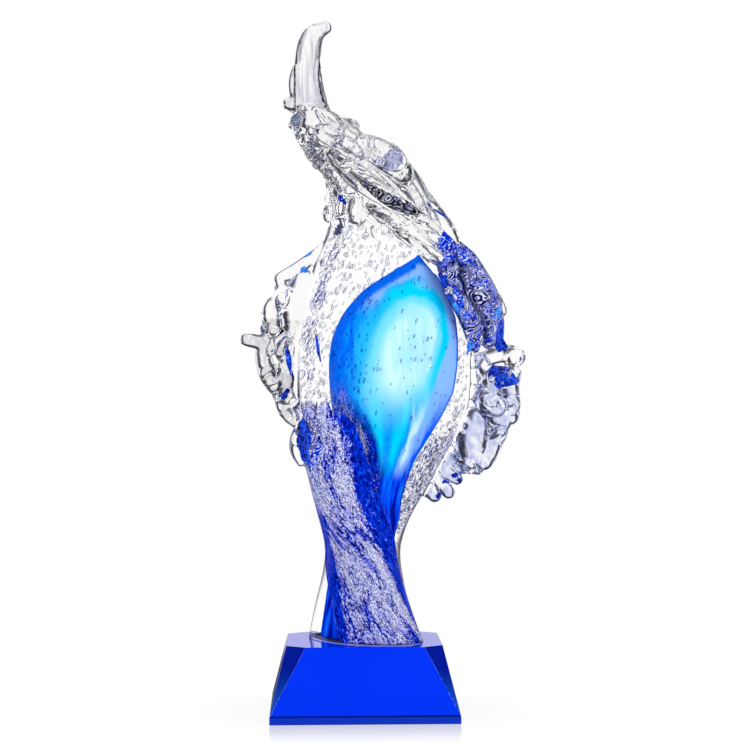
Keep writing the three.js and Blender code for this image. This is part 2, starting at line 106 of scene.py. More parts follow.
class Noise3D(Enum):
    """Named procedural textures, by the node that makes each."""

    CLOUD = "ShaderNodeTexNoise"
    CELLS = "ShaderNodeTexVoronoi"


@dataclass(frozen=True)
class Pattern:
    """A procedural texture: its repeats per metre, its grain and how it is drawn out."""

    scale: float
    detail: float = 2.0
    roughness: float = 0.5
    stir: float = 0.0
    stretch: float = 1.0
    lean: float = 0.0
    kind: Noise3D = Noise3D.CLOUD


class Graph:
    """A node tree of a material or a world, with short calls for its nodes."""

    def __init__(self, tree: bpy.types.NodeTree) -> None:
        """Empty a tree and keep it."""
        self.tree = tree
        tree.nodes.clear()

    def node(self, kind: str, **settings: object) -> Node:
        """Add a node.

        Args:
            kind: Blender's name of the node type.
            settings: Attributes of the node to set.

        Returns:
            The new node.
        """
        made = self.tree.nodes.new(kind)
        for name, value in settings.items():
            setattr(made, name, value)
        return made

    def feed(self, target: Socket, value: object) -> None:
        """Link a socket to a target, or set the target's own value.

        Args:
            target: An input socket.
            value: An output socket, a number or a colour.
        """
        if isinstance(value, Socket):
            self.tree.links.new(value, target)
            return
        if isinstance(value, tuple) and target.type == "RGBA" and len(value) == 3:
            value = (*value, 1.0)
        target.default_value = value

    def fed_node(self, kind: str, inputs: dict[str | int, object], **settings: object) -> Node:
        """Add a node whose inputs are fed by name or by number.

        Args:
            kind: Blender's name of the node type.
            inputs: What each input is fed.
            settings: Attributes of the node to set.

        Returns:
            The new node.
        """
        made = self.node(kind, **settings)
        for name, value in inputs.items():
            self.feed(made.inputs[name], value)
        return made

    def fed(self, kind: str, inputs: dict[str | int, object], **settings: object) -> Socket:
        """Return the first output of a node whose inputs are fed."""
        return self.fed_node(kind, inputs, **settings).outputs[0]

    def math(self, operation: str, first: object, second: object = 0.0) -> Socket:
        """Return a Math node's result.

        Args:
            operation: The Math node's operation.
            first: A number or socket.
            second: A number or socket.

        Returns:
            The value socket.
        """
        return self.fed("ShaderNodeMath", {0: first, 1: second}, operation=operation)

    def plus(self, first: object, second: object) -> Socket:
        """Return the sum of two numbers or sockets."""
        return self.math("ADD", first, second)

    def minus(self, first: object, second: object) -> Socket:
        """Return the difference of two numbers or sockets."""
        return self.math("SUBTRACT", first, second)

    def times(self, first: object, second: object) -> Socket:
        """Return the product of two numbers or sockets."""
        return self.math("MULTIPLY", first, second)

    def swing(self, cloud: Socket, reach: float) -> Socket:
        """Return a cloud of 0 to 1 as a swing of a given reach about 0."""
        return self.times(self.minus(cloud, 0.5), reach)

    def length(self, first: Socket, second: Socket) -> Socket:
        """Return how long a step is, from its two parts."""
        return self.math("SQRT", self.plus(self.times(first, first), self.times(second, second)))

    def ranged(self, value: object, start: float, end: float) -> Socket:
        """Return 0 at a start and 1 at an end, with a soft turn between them.

        Args:
            value: A number or socket.
            start: What gives 0. It may be the higher of the two.
            end: What gives 1.

        Returns:
            The value socket.
        """
        inputs = {"Value": value, "From Min": start, "From Max": end}
        return self.fed("ShaderNodeMapRange", inputs, interpolation_type="SMOOTHSTEP")

    def mix(self, factor: object, first: object, second: object) -> Socket:
        """Return a colour mixed from two.

        Args:
            factor: How much of the second, from 0 to 1.
            first: A colour or socket.
            second: A colour or socket.

        Returns:
            The colour socket.
        """
        inputs = {0: factor, 6: first, 7: second}
        return self.fed_node("ShaderNodeMix", inputs, data_type="RGBA", clamp_factor=True).outputs[2]

    def blend_shader(self, factor: object, first: Socket, second: Socket) -> Socket:
        """Return a shader mixed from two.

        Args:
            factor: How much of the second, from 0 to 1.
            first: A shader socket.
            second: A shader socket.

        Returns:
            The shader socket.
        """
        return self.fed("ShaderNodeMixShader", {0: factor, 1: first, 2: second})

    def ramp(self, factor: object, stops: Stops) -> Socket:
        """Return a colour ramp's result.

        Args:
            factor: The value that the ramp reads.
            stops: Places from 0 to 1, each with its colour.

        Returns:
            The colour socket.
        """
        made = self.node("ShaderNodeValToRGB")
        made.color_ramp.interpolation = "EASE"
        elements = made.color_ramp.elements
        elements[0].position, elements[-1].position = stops[0][0], stops[-1][0]
        elements[0].color, elements[-1].color = (*stops[0][1], 1.0), (*stops[-1][1], 1.0)
        for place, colour in stops[1:-1]:
            elements.new(place).color = (*colour, 1.0)
        self.feed(made.inputs[0], factor)
        return made.outputs[0]

    def texture(self, vector: Socket, pattern: Pattern) -> Socket:
        """Return a procedural texture's value.

        Args:
            vector: Where it is read. It is turned about Y and drawn out along Z first.
            pattern: The texture.

        Returns:
            The value socket.
        """
        if (pattern.stretch, pattern.lean) != (1.0, 0.0):
            drawn = {
                "Vector": vector, "Scale": (1.0, 1.0, pattern.stretch), "Rotation": (0.0, pattern.lean, 0.0),
            }
            vector = self.fed("ShaderNodeMapping", drawn, vector_type="POINT")
        inputs = {"Vector": vector, "Scale": pattern.scale}
        if pattern.kind is Noise3D.CELLS:
            return self.fed_node(pattern.kind.value, inputs).outputs["Distance"]
        grain = {"Detail": pattern.detail, "Roughness": pattern.roughness, "Distortion": pattern.stir}
        return self.fed(pattern.kind.value, inputs | grain)

    def vector(self, name: str) -> Socket:
        """Return a named attribute of the piece, as a vector."""
        return self.node("ShaderNodeAttribute", attribute_name=name).outputs["Vector"]

    def value(self, name: str) -> Socket:
        """Return a named attribute of the piece, as a number."""
        return self.node("ShaderNodeAttribute", attribute_name=name).outputs["Fac"]

    def place(self) -> Socket:
        """Return the Object coordinates."""
        return self.node("ShaderNodeTexCoord").outputs["Object"]

    def split(self, vector: Socket) -> tuple[Socket, Socket, Socket]:
        """Return the X, Y and Z of a vector."""
        made = self.fed_node("ShaderNodeSeparateXYZ", {0: vector})
        return made.outputs["X"], made.outputs["Y"], made.outputs["Z"]

    def surface(self, shader: Socket, volume: Socket | None = None) -> None:
        """Link the output of a material.

        Args:
            shader: Its surface.
            volume: What fills it, or None.
        """
        out = self.node("ShaderNodeOutputMaterial")
        self.feed(out.inputs["Surface"], shader)
        if volume is not None:
            self.feed(out.inputs["Volume"], volume)


def new_material(name: str) -> tuple[Material, Graph]:
    """Return a new material with an empty graph.

    Args:
        name: The material's name.

    Returns:
        The material and its graph.
    """
    material = bpy.data.materials.new(name)
    material.use_nodes = True
    return material, Graph(material.node_tree)


def lamp_clear(graph: Graph, glass: Socket, tint: Colour) -> Socket:
    """Let lamps and soft light through glass, so that what is inside it is lit.

    Args:
        graph: The material's graph.
        glass: The glass shader.
        tint: The colour that light takes on.

    Returns:
        The shader socket.
    """
    path = graph.node("ShaderNodeLightPath")
    window = graph.fed("ShaderNodeBsdfTransparent", {"Color": tint})
    lit = graph.blend_shader(path.outputs["Is Shadow Ray"], glass, window)
    return graph.blend_shader(path.outputs["Is Diffuse Ray"], lit, window)


@dataclass(frozen=True)
class ClearGlass:
    """Fire-polished clear glass, with ripples and tinted veins of a given size."""

    name: str
    ior: float
    tint: Colour
    ripple: float
    ripple_scale: float
    vein: Colour | None = None
    vein_scale: float = 110.0
    vein_stretch: float = 0.5
    vein_stir: float = 1.4
    vein_lean: float = math.radians(20)
    vein_edge: Span = (0.42, 0.62)
    ripple_depth: float = 1.0 * MM
    ripple_stretch: float = 0.5
    ripple_stir: float = 0.8
    ripple_lean: float = math.radians(38)
    lets_through: Colour = (0.97, 0.975, 0.99)

    def build(self) -> Material:
        """Make the finish.

        Returns:
            The material.
        """
        material, graph = new_material(self.name)
        place = graph.place()
        colour = self.tint
        if self.vein is not None:
            veins = Pattern(
                self.vein_scale, stir=self.vein_stir, stretch=self.vein_stretch, lean=self.vein_lean
            )
            veined = graph.ranged(graph.texture(place, veins), *self.vein_edge)
            colour = graph.mix(veined, self.tint, self.vein)
        ripples = Pattern(
            self.ripple_scale, stir=self.ripple_stir, stretch=self.ripple_stretch, lean=self.ripple_lean
        )
        bump = graph.fed(
            "ShaderNodeBump",
            {"Strength": self.ripple, "Distance": self.ripple_depth, "Height": graph.texture(place, ripples)},
        )
        glass = graph.fed(
            "ShaderNodeBsdfGlass", {"Color": colour, "Roughness": 0.0, "IOR": self.ior, "Normal": bump}
        )
        graph.surface(lamp_clear(graph, glass, self.lets_through))
        return material


@dataclass(frozen=True)
class SeededBand:
    """Silver seed over cobalt and navy, drawn out along the twist of the glass."""

    navy: Colour = rgb(2, 8, 112)
    cobalt: Colour = rgb(2, 42, 196)
    blue: Colour = rgb(14, 86, 238)
    seed: Colour = rgb(128, 134, 188)
    seed_light: Colour = rgb(238, 239, 246)
    fine: Pattern = Pattern(1900.0, 2.0, 0.7, 0.9, 0.60)
    medium: Pattern = Pattern(640.0, 3.0, 0.65, 1.2, 0.36)
    broad: Pattern = Pattern(150.0, 2.0, 0.6, 0.6, 0.16)
    fine_share: float = 0.55
    medium_share: float = 0.45
    tide: float = 0.42
    silver_full: float = 1.04
    silver_gain: float = 0.19
    seed_edge: Span = (0.488, 0.524)
    light_edge: Span = (0.44, 0.62)

    def colour(self, graph: Graph) -> Socket:
        """Make the band's colour, read from the untwist and silver attributes.

        Args:
            graph: The material's graph.

        Returns:
            The colour socket.
        """
        twist = graph.vector("untwist")
        fine = graph.texture(twist, self.fine)
        medium = graph.texture(twist, self.medium)
        broad = graph.texture(twist, self.broad)
        grain = graph.plus(graph.times(fine, self.fine_share), graph.times(medium, self.medium_share))
        silver = graph.times(graph.minus(graph.value("silver"), self.silver_full), self.silver_gain)
        level = graph.plus(grain, graph.plus(graph.swing(broad, self.tide), silver))
        under = graph.ramp(medium, [(0.40, self.navy), (0.54, self.cobalt), (0.68, self.blue)])
        seed = graph.mix(graph.ranged(fine, *self.light_edge), self.seed, self.seed_light)
        return graph.mix(graph.ranged(level, *self.seed_edge), under, seed)


@dataclass(frozen=True)
class FlameGlass:
    """Cobalt flame with a cyan loop, a pale heart, drawn-out streak lines with a painted highlight, and a
    band of silver seed.

    The pattern follows the flame as it is seen from the front and from behind. The
    seed follows the twist of the glass.
    """

    name: str = "flame_glass"
    eye: Span = (0.0252, 0.2255)
    eye_shear: float = 0.22
    eye_half_width: float = 0.0225
    eye_half_height: float = 0.0335
    eye_tail: float = 0.050
    eye_lean: float = 0.5
    ramp_reach: float = 0.4
    loop_drift: Pattern = Pattern(42.0, 2.0, 0.5, 0.4, 0.5)
    loop_swing: float = 0.52
    top_rise: Span = (0.243, 0.258)
    right_lean: Span = (0.3, 1.0)
    left_lean: Span = (0.3, -0.2)
    outer_edge: Span = (0.44, 0.62)
    heart_edge: Span = (0.36, 0.14)
    deep_rise: Span = (0.222, 0.188)
    deep_high: float = 0.12
    deep_low: float = 0.8
    strokes: Pattern = Pattern(150.0, 2.0, 0.55, 0.5, 0.16, math.radians(-24))
    tint_edge: Span = (0.42, 0.64)
    tint_strength: float = 0.45
    light_edge: Span = (0.50, 0.62)
    dark_edge: Span = (0.47, 0.39)
    stroke_strength: float = 0.7
    streak_wave: Pattern = Pattern(120.0, 2.0, 0.5, 0.2, 0.16)
    streak_swing: float = 0.55
    streak_rise: Span = (0.204, 0.168)
    wedge_wave: Pattern = Pattern(170.0, 2.0, 0.5, 0.2, 0.12)
    wedge_rise: Span = (0.159, 0.142)
    cobalt: Colour = rgb(2, 56, 226)
    blue: Colour = rgb(6, 92, 248)
    outline: Colour = rgb(8, 106, 243)
    azure: Colour = rgb(8, 148, 252)
    sky: Colour = rgb(34, 182, 253)
    cyan: Colour = rgb(2, 206, 253)
    ice: Colour = rgb(112, 216, 253)
    pale: Colour = rgb(200, 241, 252)
    navy: Colour = rgb(0, 14, 146)
    periwinkle: Colour = rgb(134, 184, 255)

    def eye_parts(self, graph: Graph, across: Socket, up: Socket) -> tuple[Socket, Socket]:
        """Measure how a point lies to the pale eye.

        Args:
            graph: The material's graph.
            across: The X of the point.
            up: Its Z.

        Returns:
            The distance, 1 at the eye's rim, and the lean, above 0 on the upper right.
        """
        dz = graph.minus(up, self.eye[1])
        middle = graph.plus(graph.times(dz, self.eye_shear), self.eye[0])
        dx = graph.math("DIVIDE", graph.minus(across, middle), self.eye_half_width)
        above = graph.math("DIVIDE", graph.math("MAXIMUM", dz, 0.0), self.eye_half_height)
        below = graph.math("DIVIDE", graph.math("MINIMUM", dz, 0.0), self.eye_tail)
        rise = graph.plus(above, below)
        return graph.length(dx, rise), graph.plus(dx, graph.times(rise, self.eye_lean))

    def loop(self, graph: Graph, out: Socket, lean: Socket, up: Socket) -> Socket:
        """Make the rings of colour round the pale eye.

        Args:
            graph: The material's graph.
            out: How far out from the eye a point is.
            lean: How far to the eye's upper right it is.
            up: Its Z.

        Returns:
            The colour socket.
        """
        left = graph.ramp(
            out,
            [
                (0.0, self.pale), (0.14, self.pale), (0.36, self.ice), (0.46, self.sky), (0.55, self.sky),
                (0.63, self.azure), (0.76, self.azure), (0.90, self.outline),
            ],
        )
        top = graph.ramp(
            out,
            [
                (0.0, self.pale), (0.26, self.pale), (0.35, self.ice), (0.40, self.cyan), (0.47, self.cyan),
                (0.52, self.sky), (0.57, self.periwinkle),
            ],
        )
        right = graph.ramp(
            out,
            [
                (0.0, self.pale), (0.29, self.pale), (0.34, self.ice), (0.38, self.cyan), (0.42, self.cyan),
                (0.47, self.periwinkle), (0.80, self.periwinkle), (0.95, self.blue),
            ],
        )
        rings = graph.mix(graph.ranged(up, *self.top_rise), left, top)
        return graph.mix(graph.ranged(lean, *self.right_lean), rings, right)

    def petal(self, graph: Graph, place: Socket, across: Socket, up: Socket) -> Socket:
        """Make the colour of the upper part: outline, cyan loop and pale heart.

        Args:
            graph: The material's graph.
            place: The point.
            across: Its X.
            up: Its Z.

        Returns:
            The colour socket.
        """
        distance, lean = self.eye_parts(graph, across, up)
        wander = graph.swing(graph.texture(place, self.loop_drift), self.loop_swing)
        out = graph.times(graph.plus(distance, wander), self.ramp_reach)
        colour = self.loop(graph, out, lean, up)
        strokes = graph.texture(place, self.strokes)
        under_top = graph.ranged(up, *reversed(self.top_rise))
        leftward = graph.times(graph.ranged(lean, *self.left_lean), under_top)
        outer = graph.times(graph.ranged(out, *self.outer_edge), leftward)
        deepened = graph.plus(graph.times(graph.ranged(up, *self.deep_rise), self.deep_low), self.deep_high)
        colour = graph.mix(graph.times(outer, deepened), colour, self.cobalt)
        tinted = graph.times(graph.ranged(out, *self.heart_edge), graph.ranged(strokes, *self.tint_edge))
        colour = graph.mix(graph.times(tinted, self.tint_strength), colour, self.ice)
        drawn = graph.times(outer, graph.ranged(strokes, *self.light_edge))
        colour = graph.mix(graph.times(drawn, self.stroke_strength), colour, self.azure)
        shadowed = graph.times(outer, graph.ranged(strokes, *self.dark_edge))
        return graph.mix(graph.times(shadowed, self.stroke_strength), colour, self.blue)

    def streaks_and_highlight(self, graph: Graph, place: Socket, side: Socket) -> Socket:
        """Make the colour of the drawn-out streak lines under the pale heart, with a painted highlight
        streak.

        Args:
            graph: The material's graph.
            place: The point.
            side: Where it is between the flame's left, -1, and its right, 1.

        Returns:
            The colour socket.
        """
        moved = graph.plus(side, graph.swing(graph.texture(place, self.streak_wave), self.streak_swing))
        # The pale stop at 0.78 is a painted highlight: a bright reflection streak painted into the colour.
        return graph.ramp(
            graph.plus(graph.times(moved, 0.5), 0.5),
            [
                (0.0, self.cobalt), (0.20, self.blue), (0.27, self.azure), (0.34, self.cyan),
                (0.50, self.azure), (0.61, self.cyan), (0.70, self.azure), (0.78, self.pale),
                (0.86, self.periwinkle), (0.97, self.blue),
            ],
        )

    def build(self) -> Material:
        """Make the finish.

        Returns:
            The material.
        """
        material, graph = new_material(self.name)
        place = graph.place()
        across, _, up = graph.split(place)
        low = graph.ranged(up, *self.streak_rise)
        petal = self.petal(graph, place, across, up)
        body = graph.mix(low, petal, self.streaks_and_highlight(graph, place, graph.value("side")))
        body = graph.mix(graph.value("rim"), body, self.outline)
        wedge = graph.ramp(
            graph.texture(place, self.wedge_wave),
            [(0.38, self.navy), (0.48, self.cobalt), (0.60, self.blue), (0.72, self.azure)],
        )
        body = graph.mix(graph.ranged(up, *self.wedge_rise), body, wedge)
        body = graph.mix(graph.value("band"), body, SeededBand().colour(graph))
        inputs = {"Base Color": body, "Roughness": 0.5, "Specular IOR Level": 0.0}
        graph.surface(graph.fed("ShaderNodeBsdfPrincipled", inputs))
        return material


@dataclass(frozen=True)
class CloudyGlass:
    """Plain coloured glass, or adhesive, with a faint cloud in it."""

    name: str
    colour: Colour
    cloud: Colour
    drift: Pattern = Pattern(60.0)
    roughness: float = 0.2

    def build(self) -> Material:
        """Make the finish.

        Returns:
            The material.
        """
        material, graph = new_material(self.name)
        colour = graph.mix(graph.texture(graph.place(), self.drift), self.colour, self.cloud)
        inputs = {"Base Color": colour, "Roughness": self.roughness}
        graph.surface(graph.fed("ShaderNodeBsdfPrincipled", inputs))
        return material


@dataclass(frozen=True)
class SeedVeil:
    """The sheet under the clear skin: seeded band, fine seed in the fan, cobalt swirls."""

    name: str = "seed_veil"
    light: Colour = rgb(210, 208, 232)
    dark: Colour = rgb(60, 64, 140)
    fine: Pattern = Pattern(1300.0, 3.0, 0.7, 0.7, 0.34)
    tone: Pattern = Pattern(900.0, 2.0, 0.6, 0.0, 0.4)
    ragged: Pattern = Pattern(260.0, 3.0, 0.65, 0.0, 0.25)
    tone_edge: Span = (0.42, 0.58)
    band_swing: float = 1.3
    band_edge: Span = (0.42, 0.56)
    crest_swing: float = 0.9
    crest_edge: Span = (0.42, 0.50)
    fan_gain: float = 0.35
    seed_edge: Span = (0.46, 0.53)

    def build(self) -> Material:
        """Make the finish.

        Returns:
            The material.
        """
        material, graph = new_material(self.name)
        twist = graph.vector("untwist")
        fine = graph.texture(twist, self.fine)
        tone = graph.texture(twist, self.tone)
        ragged = graph.texture(twist, self.ragged)
        band = graph.plus(graph.value("band"), graph.swing(ragged, self.band_swing))
        band = graph.ranged(band, *self.band_edge)
        crest = graph.plus(graph.value("crest"), graph.swing(ragged, self.crest_swing))
        crest = graph.ranged(crest, *self.crest_edge)
        fan = graph.times(graph.minus(graph.value("fan"), 1.0), self.fan_gain)
        sparse = graph.ranged(graph.plus(fine, fan), *self.seed_edge)
        colour = graph.mix(graph.ranged(tone, *self.tone_edge), self.dark, self.light)
        colour = graph.mix(band, colour, SeededBand().colour(graph))
        colour = graph.mix(crest, colour, SwirlGlass().colour(graph, graph.place()))
        cover = graph.math("MAXIMUM", graph.math("MAXIMUM", band, crest), sparse)
        dull = graph.fed("ShaderNodeBsdfDiffuse", {"Color": colour})
        window = graph.fed("ShaderNodeBsdfTransparent", {})
        graph.surface(graph.blend_shader(cover, window, dull))
        return material


@dataclass(frozen=True)
class BubbleSkin:
    """A bubble in glass: clear or pale in its middle, with a painted dark rim that stands in for the dark
    surroundings mirrored in it.
    """

    name: str
    rim: Colour
    core: Colour | None = None
    painted_rim_edge: Span = (0.10, 0.42)

    def build(self) -> Material:
        """Make the finish.

        Returns:
            The material.
        """
        material, graph = new_material(self.name)
        facing = graph.fed_node("ShaderNodeLayerWeight", {"Blend": 0.5})
        dull = graph.fed("ShaderNodeBsdfDiffuse", {"Color": self.rim})
        kind = "ShaderNodeBsdfTransparent" if self.core is None else "ShaderNodeBsdfDiffuse"
        middle = graph.fed(kind, {"Color": self.core or WHITE})
        # The rim colour is painted reflection, laid on where the surface turns away from the eye.
        rim = graph.ranged(facing.outputs["Facing"], *self.painted_rim_edge)
        graph.surface(graph.blend_shader(rim, middle, dull))
        return material


@dataclass(frozen=True)
class SwirlGlass:
    """Coloured glass caught in clear folds, with dark swirls, pale threads and seed."""

    name: str = "cobalt_swirl"
    dark: Colour = rgb(3, 8, 84)
    body: Colour = rgb(0, 38, 190)
    bright: Colour = rgb(10, 92, 232)
    pale: Colour = rgb(206, 210, 236)
    shade: Colour = rgb(92, 94, 150)
    scale: float = 66.0
    stir: float = 1.8
    lines: float = 80.0
    patched: float = 1.0
    patches: Pattern = Pattern(100.0, 1.0, 0.5, 0.4)
    dots: Pattern = Pattern(640.0, kind=Noise3D.CELLS)
    shade_edge: Span = (0.56, 0.60)
    thread_edge: Span = (0.30, 0.70)
    thread_patch: Span = (0.52, 0.47)
    speck_edge: Span = (0.40, 0.26)
    speck_patch: Span = (0.50, 0.54)

    def colour(self, graph: Graph, place: Socket) -> Socket:
        """Make the swirled colour.

        Args:
            graph: The material's graph.
            place: The point.

        Returns:
            The colour socket.
        """
        swirl = graph.texture(place, Pattern(self.scale, 1.0, stir=self.stir))
        patches = graph.texture(place, self.patches)
        colour = graph.ramp(
            swirl,
            [(0.36, self.dark), (0.45, self.body), (0.50, self.bright), (0.55, self.body), (0.66, self.dark)],
        )
        dull = graph.times(graph.ranged(patches, *self.shade_edge), self.patched)
        colour = graph.mix(dull, colour, self.shade)
        threads = graph.ranged(graph.math("SINE", graph.times(swirl, self.lines)), *self.thread_edge)
        drawn = graph.times(threads, graph.ranged(patches, *self.thread_patch))
        colour = graph.mix(graph.times(drawn, self.patched), colour, self.pale)
        speck = graph.ranged(graph.texture(place, self.dots), *self.speck_edge)
        where = graph.times(graph.ranged(patches, *self.speck_patch), self.patched)
        return graph.mix(graph.times(speck, where), colour, self.pale)

    def build(self) -> Material:
        """Make the finish.

        Returns:
            The material.
        """
        material, graph = new_material(self.name)
        colour = self.colour(graph, graph.place())
        inputs = {"Base Color": colour, "Roughness": 0.4, "Specular IOR Level": 0.1}
        graph.surface(graph.fed("ShaderNodeBsdfPrincipled", inputs))
        return material


@dataclass(frozen=True)
class CobaltCrystal:
    """Cut and polished cobalt crystal, coloured through its depth."""

    name: str
    body: Colour
    ior: float = 1.52
    depth_colour: Colour = (0.0, 0.45, 0.992)
    density: float = 90.0
    drift: Pattern = Pattern(20.0, 1.0, 0.4)
    deeper: float = 0.86
    cloud: float = 0.84
    # A painted shade colour, and the heights between which it gives way to the body colour.
    edge: Colour | None = None
    painted_shade_heights: Span = (0.0, 0.0)

    def build(self) -> Material:
        """Make the finish.

        Returns:
            The material.
        """
        material, graph = new_material(self.name)
        glass = graph.fed("ShaderNodeBsdfGlass", {"Color": WHITE, "Roughness": 0.0, "IOR": self.ior})
        deeper = tuple(self.deeper * channel for channel in self.body)
        colour = graph.mix(graph.texture(graph.place(), self.drift), deeper, self.body)
        # Painted shade: the edge colour darkens or lightens the crystal between two heights.
        if self.edge is not None:
            up = graph.split(graph.place())[2]
            colour = graph.mix(graph.ranged(up, *self.painted_shade_heights), self.edge, colour)
        inputs = {"Base Color": colour, "Roughness": 0.0, "IOR": self.ior}
        inner = graph.fed("ShaderNodeBsdfPrincipled", inputs)
        depth = graph.fed(
            "ShaderNodeVolumeAbsorption", {"Color": self.depth_colour, "Density": self.density}
        )
        graph.surface(graph.blend_shader(self.cloud, glass, inner), depth)
        return material


def dress_node(name: str, finish: CloudyGlass) -> None:
    """Give a CAD node that is shown itself its finish.

    Args:
        name: The node.
        finish: Its finish.
    """
    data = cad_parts[name].data
    data.materials.clear()
    data.materials.append(finish.build())


def node_mesh(name: str) -> Mesh:
    """Return a copy of a CAD node's mesh with its loose triangles merged.

    Args:
        name: The node.

    Returns:
        The copy.
    """
    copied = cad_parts[name].data.copy()
    work = bmesh.new()
    work.from_mesh(copied)
    bmesh.ops.remove_doubles(work, verts=work.verts, dist=0.01 * MM)
    work.to_mesh(copied)
    work.free()
    return copied


def add_object(name: str, data: bpy.types.ID) -> Piece:
    """Add an object at the origin.

    Args:
        name: Its name.
        data: Its mesh, lamp or camera.

    Returns:
        The object.
    """
    made = bpy.data.objects.new(name, data)
    bpy.context.scene.collection.objects.link(made)
    return made


def settle(obj: Piece) -> Piece:
    """Turn an object's evaluated mesh into its plain mesh and drop its modifiers.

    Args:
        obj: The object.

    Returns:
        The same object.
    """
    shaped = obj.evaluated_get(bpy.context.evaluated_depsgraph_get())
    mesh = bpy.data.meshes.new_from_object(shaped)
    obj.modifiers.clear()
    obj.data = mesh
    return obj


def points_of(mesh: Mesh) -> Array:
    """Return a mesh's vertices as an array of rows.

    Args:
        mesh: The mesh.

    Returns:
        Rows of X, Y and Z.
    """
    flat = np.empty(len(mesh.vertices) * 3)
    mesh.vertices.foreach_get("co", flat)
    return flat.reshape(-1, 3)


def normals_of(mesh: Mesh) -> Array:
    """Return a mesh's vertex normals as an array of rows.

    Args:
        mesh: The mesh.

    Returns:
        Rows of X, Y and Z.
    """
    flat = np.empty(len(mesh.vertices) * 3)
    mesh.vertex_normals.foreach_get("vector", flat)
    return flat.reshape(-1, 3)


def put_points(mesh: Mesh, points: Array) -> None:
    """Write an array of rows back as a mesh's vertices."""
    mesh.vertices.foreach_set("co", points.astype(np.float32).ravel())
    mesh.update()


def drop_doubled_faces(mesh: Mesh) -> None:
    """Take out every set of faces that lie on the same corners.

    Args:
        mesh: The mesh to clean.
    """
    work = bmesh.new()
    work.from_mesh(mesh)
    corners: dict[frozenset[int], list[bmesh.types.BMFace]] = {}
    for face in work.faces:
        corners.setdefault(frozenset(vert.index for vert in face.verts), []).append(face)
    doubled = [face for faces in corners.values() if len(faces) > 1 for face in faces]
    bmesh.ops.delete(work, geom=doubled, context="FACES")
    work.to_mesh(mesh)
    work.free()


def shade_smooth(mesh: Mesh) -> None:
    """Shade every face of a mesh smooth."""
    mesh.polygons.foreach_set("use_smooth", np.ones(len(mesh.polygons), dtype=bool))


def put_value(mesh: Mesh, name: str, values: Array) -> None:
    """Store a number or a vector for each vertex under a name.

    Args:
        mesh: The mesh.
        name: The attribute's name.
        values: One number or one row a vertex.
    """
    kind, slot = ("FLOAT", "value") if values.ndim == 1 else ("FLOAT_VECTOR", "vector")
    layer = mesh.attributes.new(name, kind, "POINT")
    layer.data.foreach_set(slot, values.astype(np.float32).ravel())


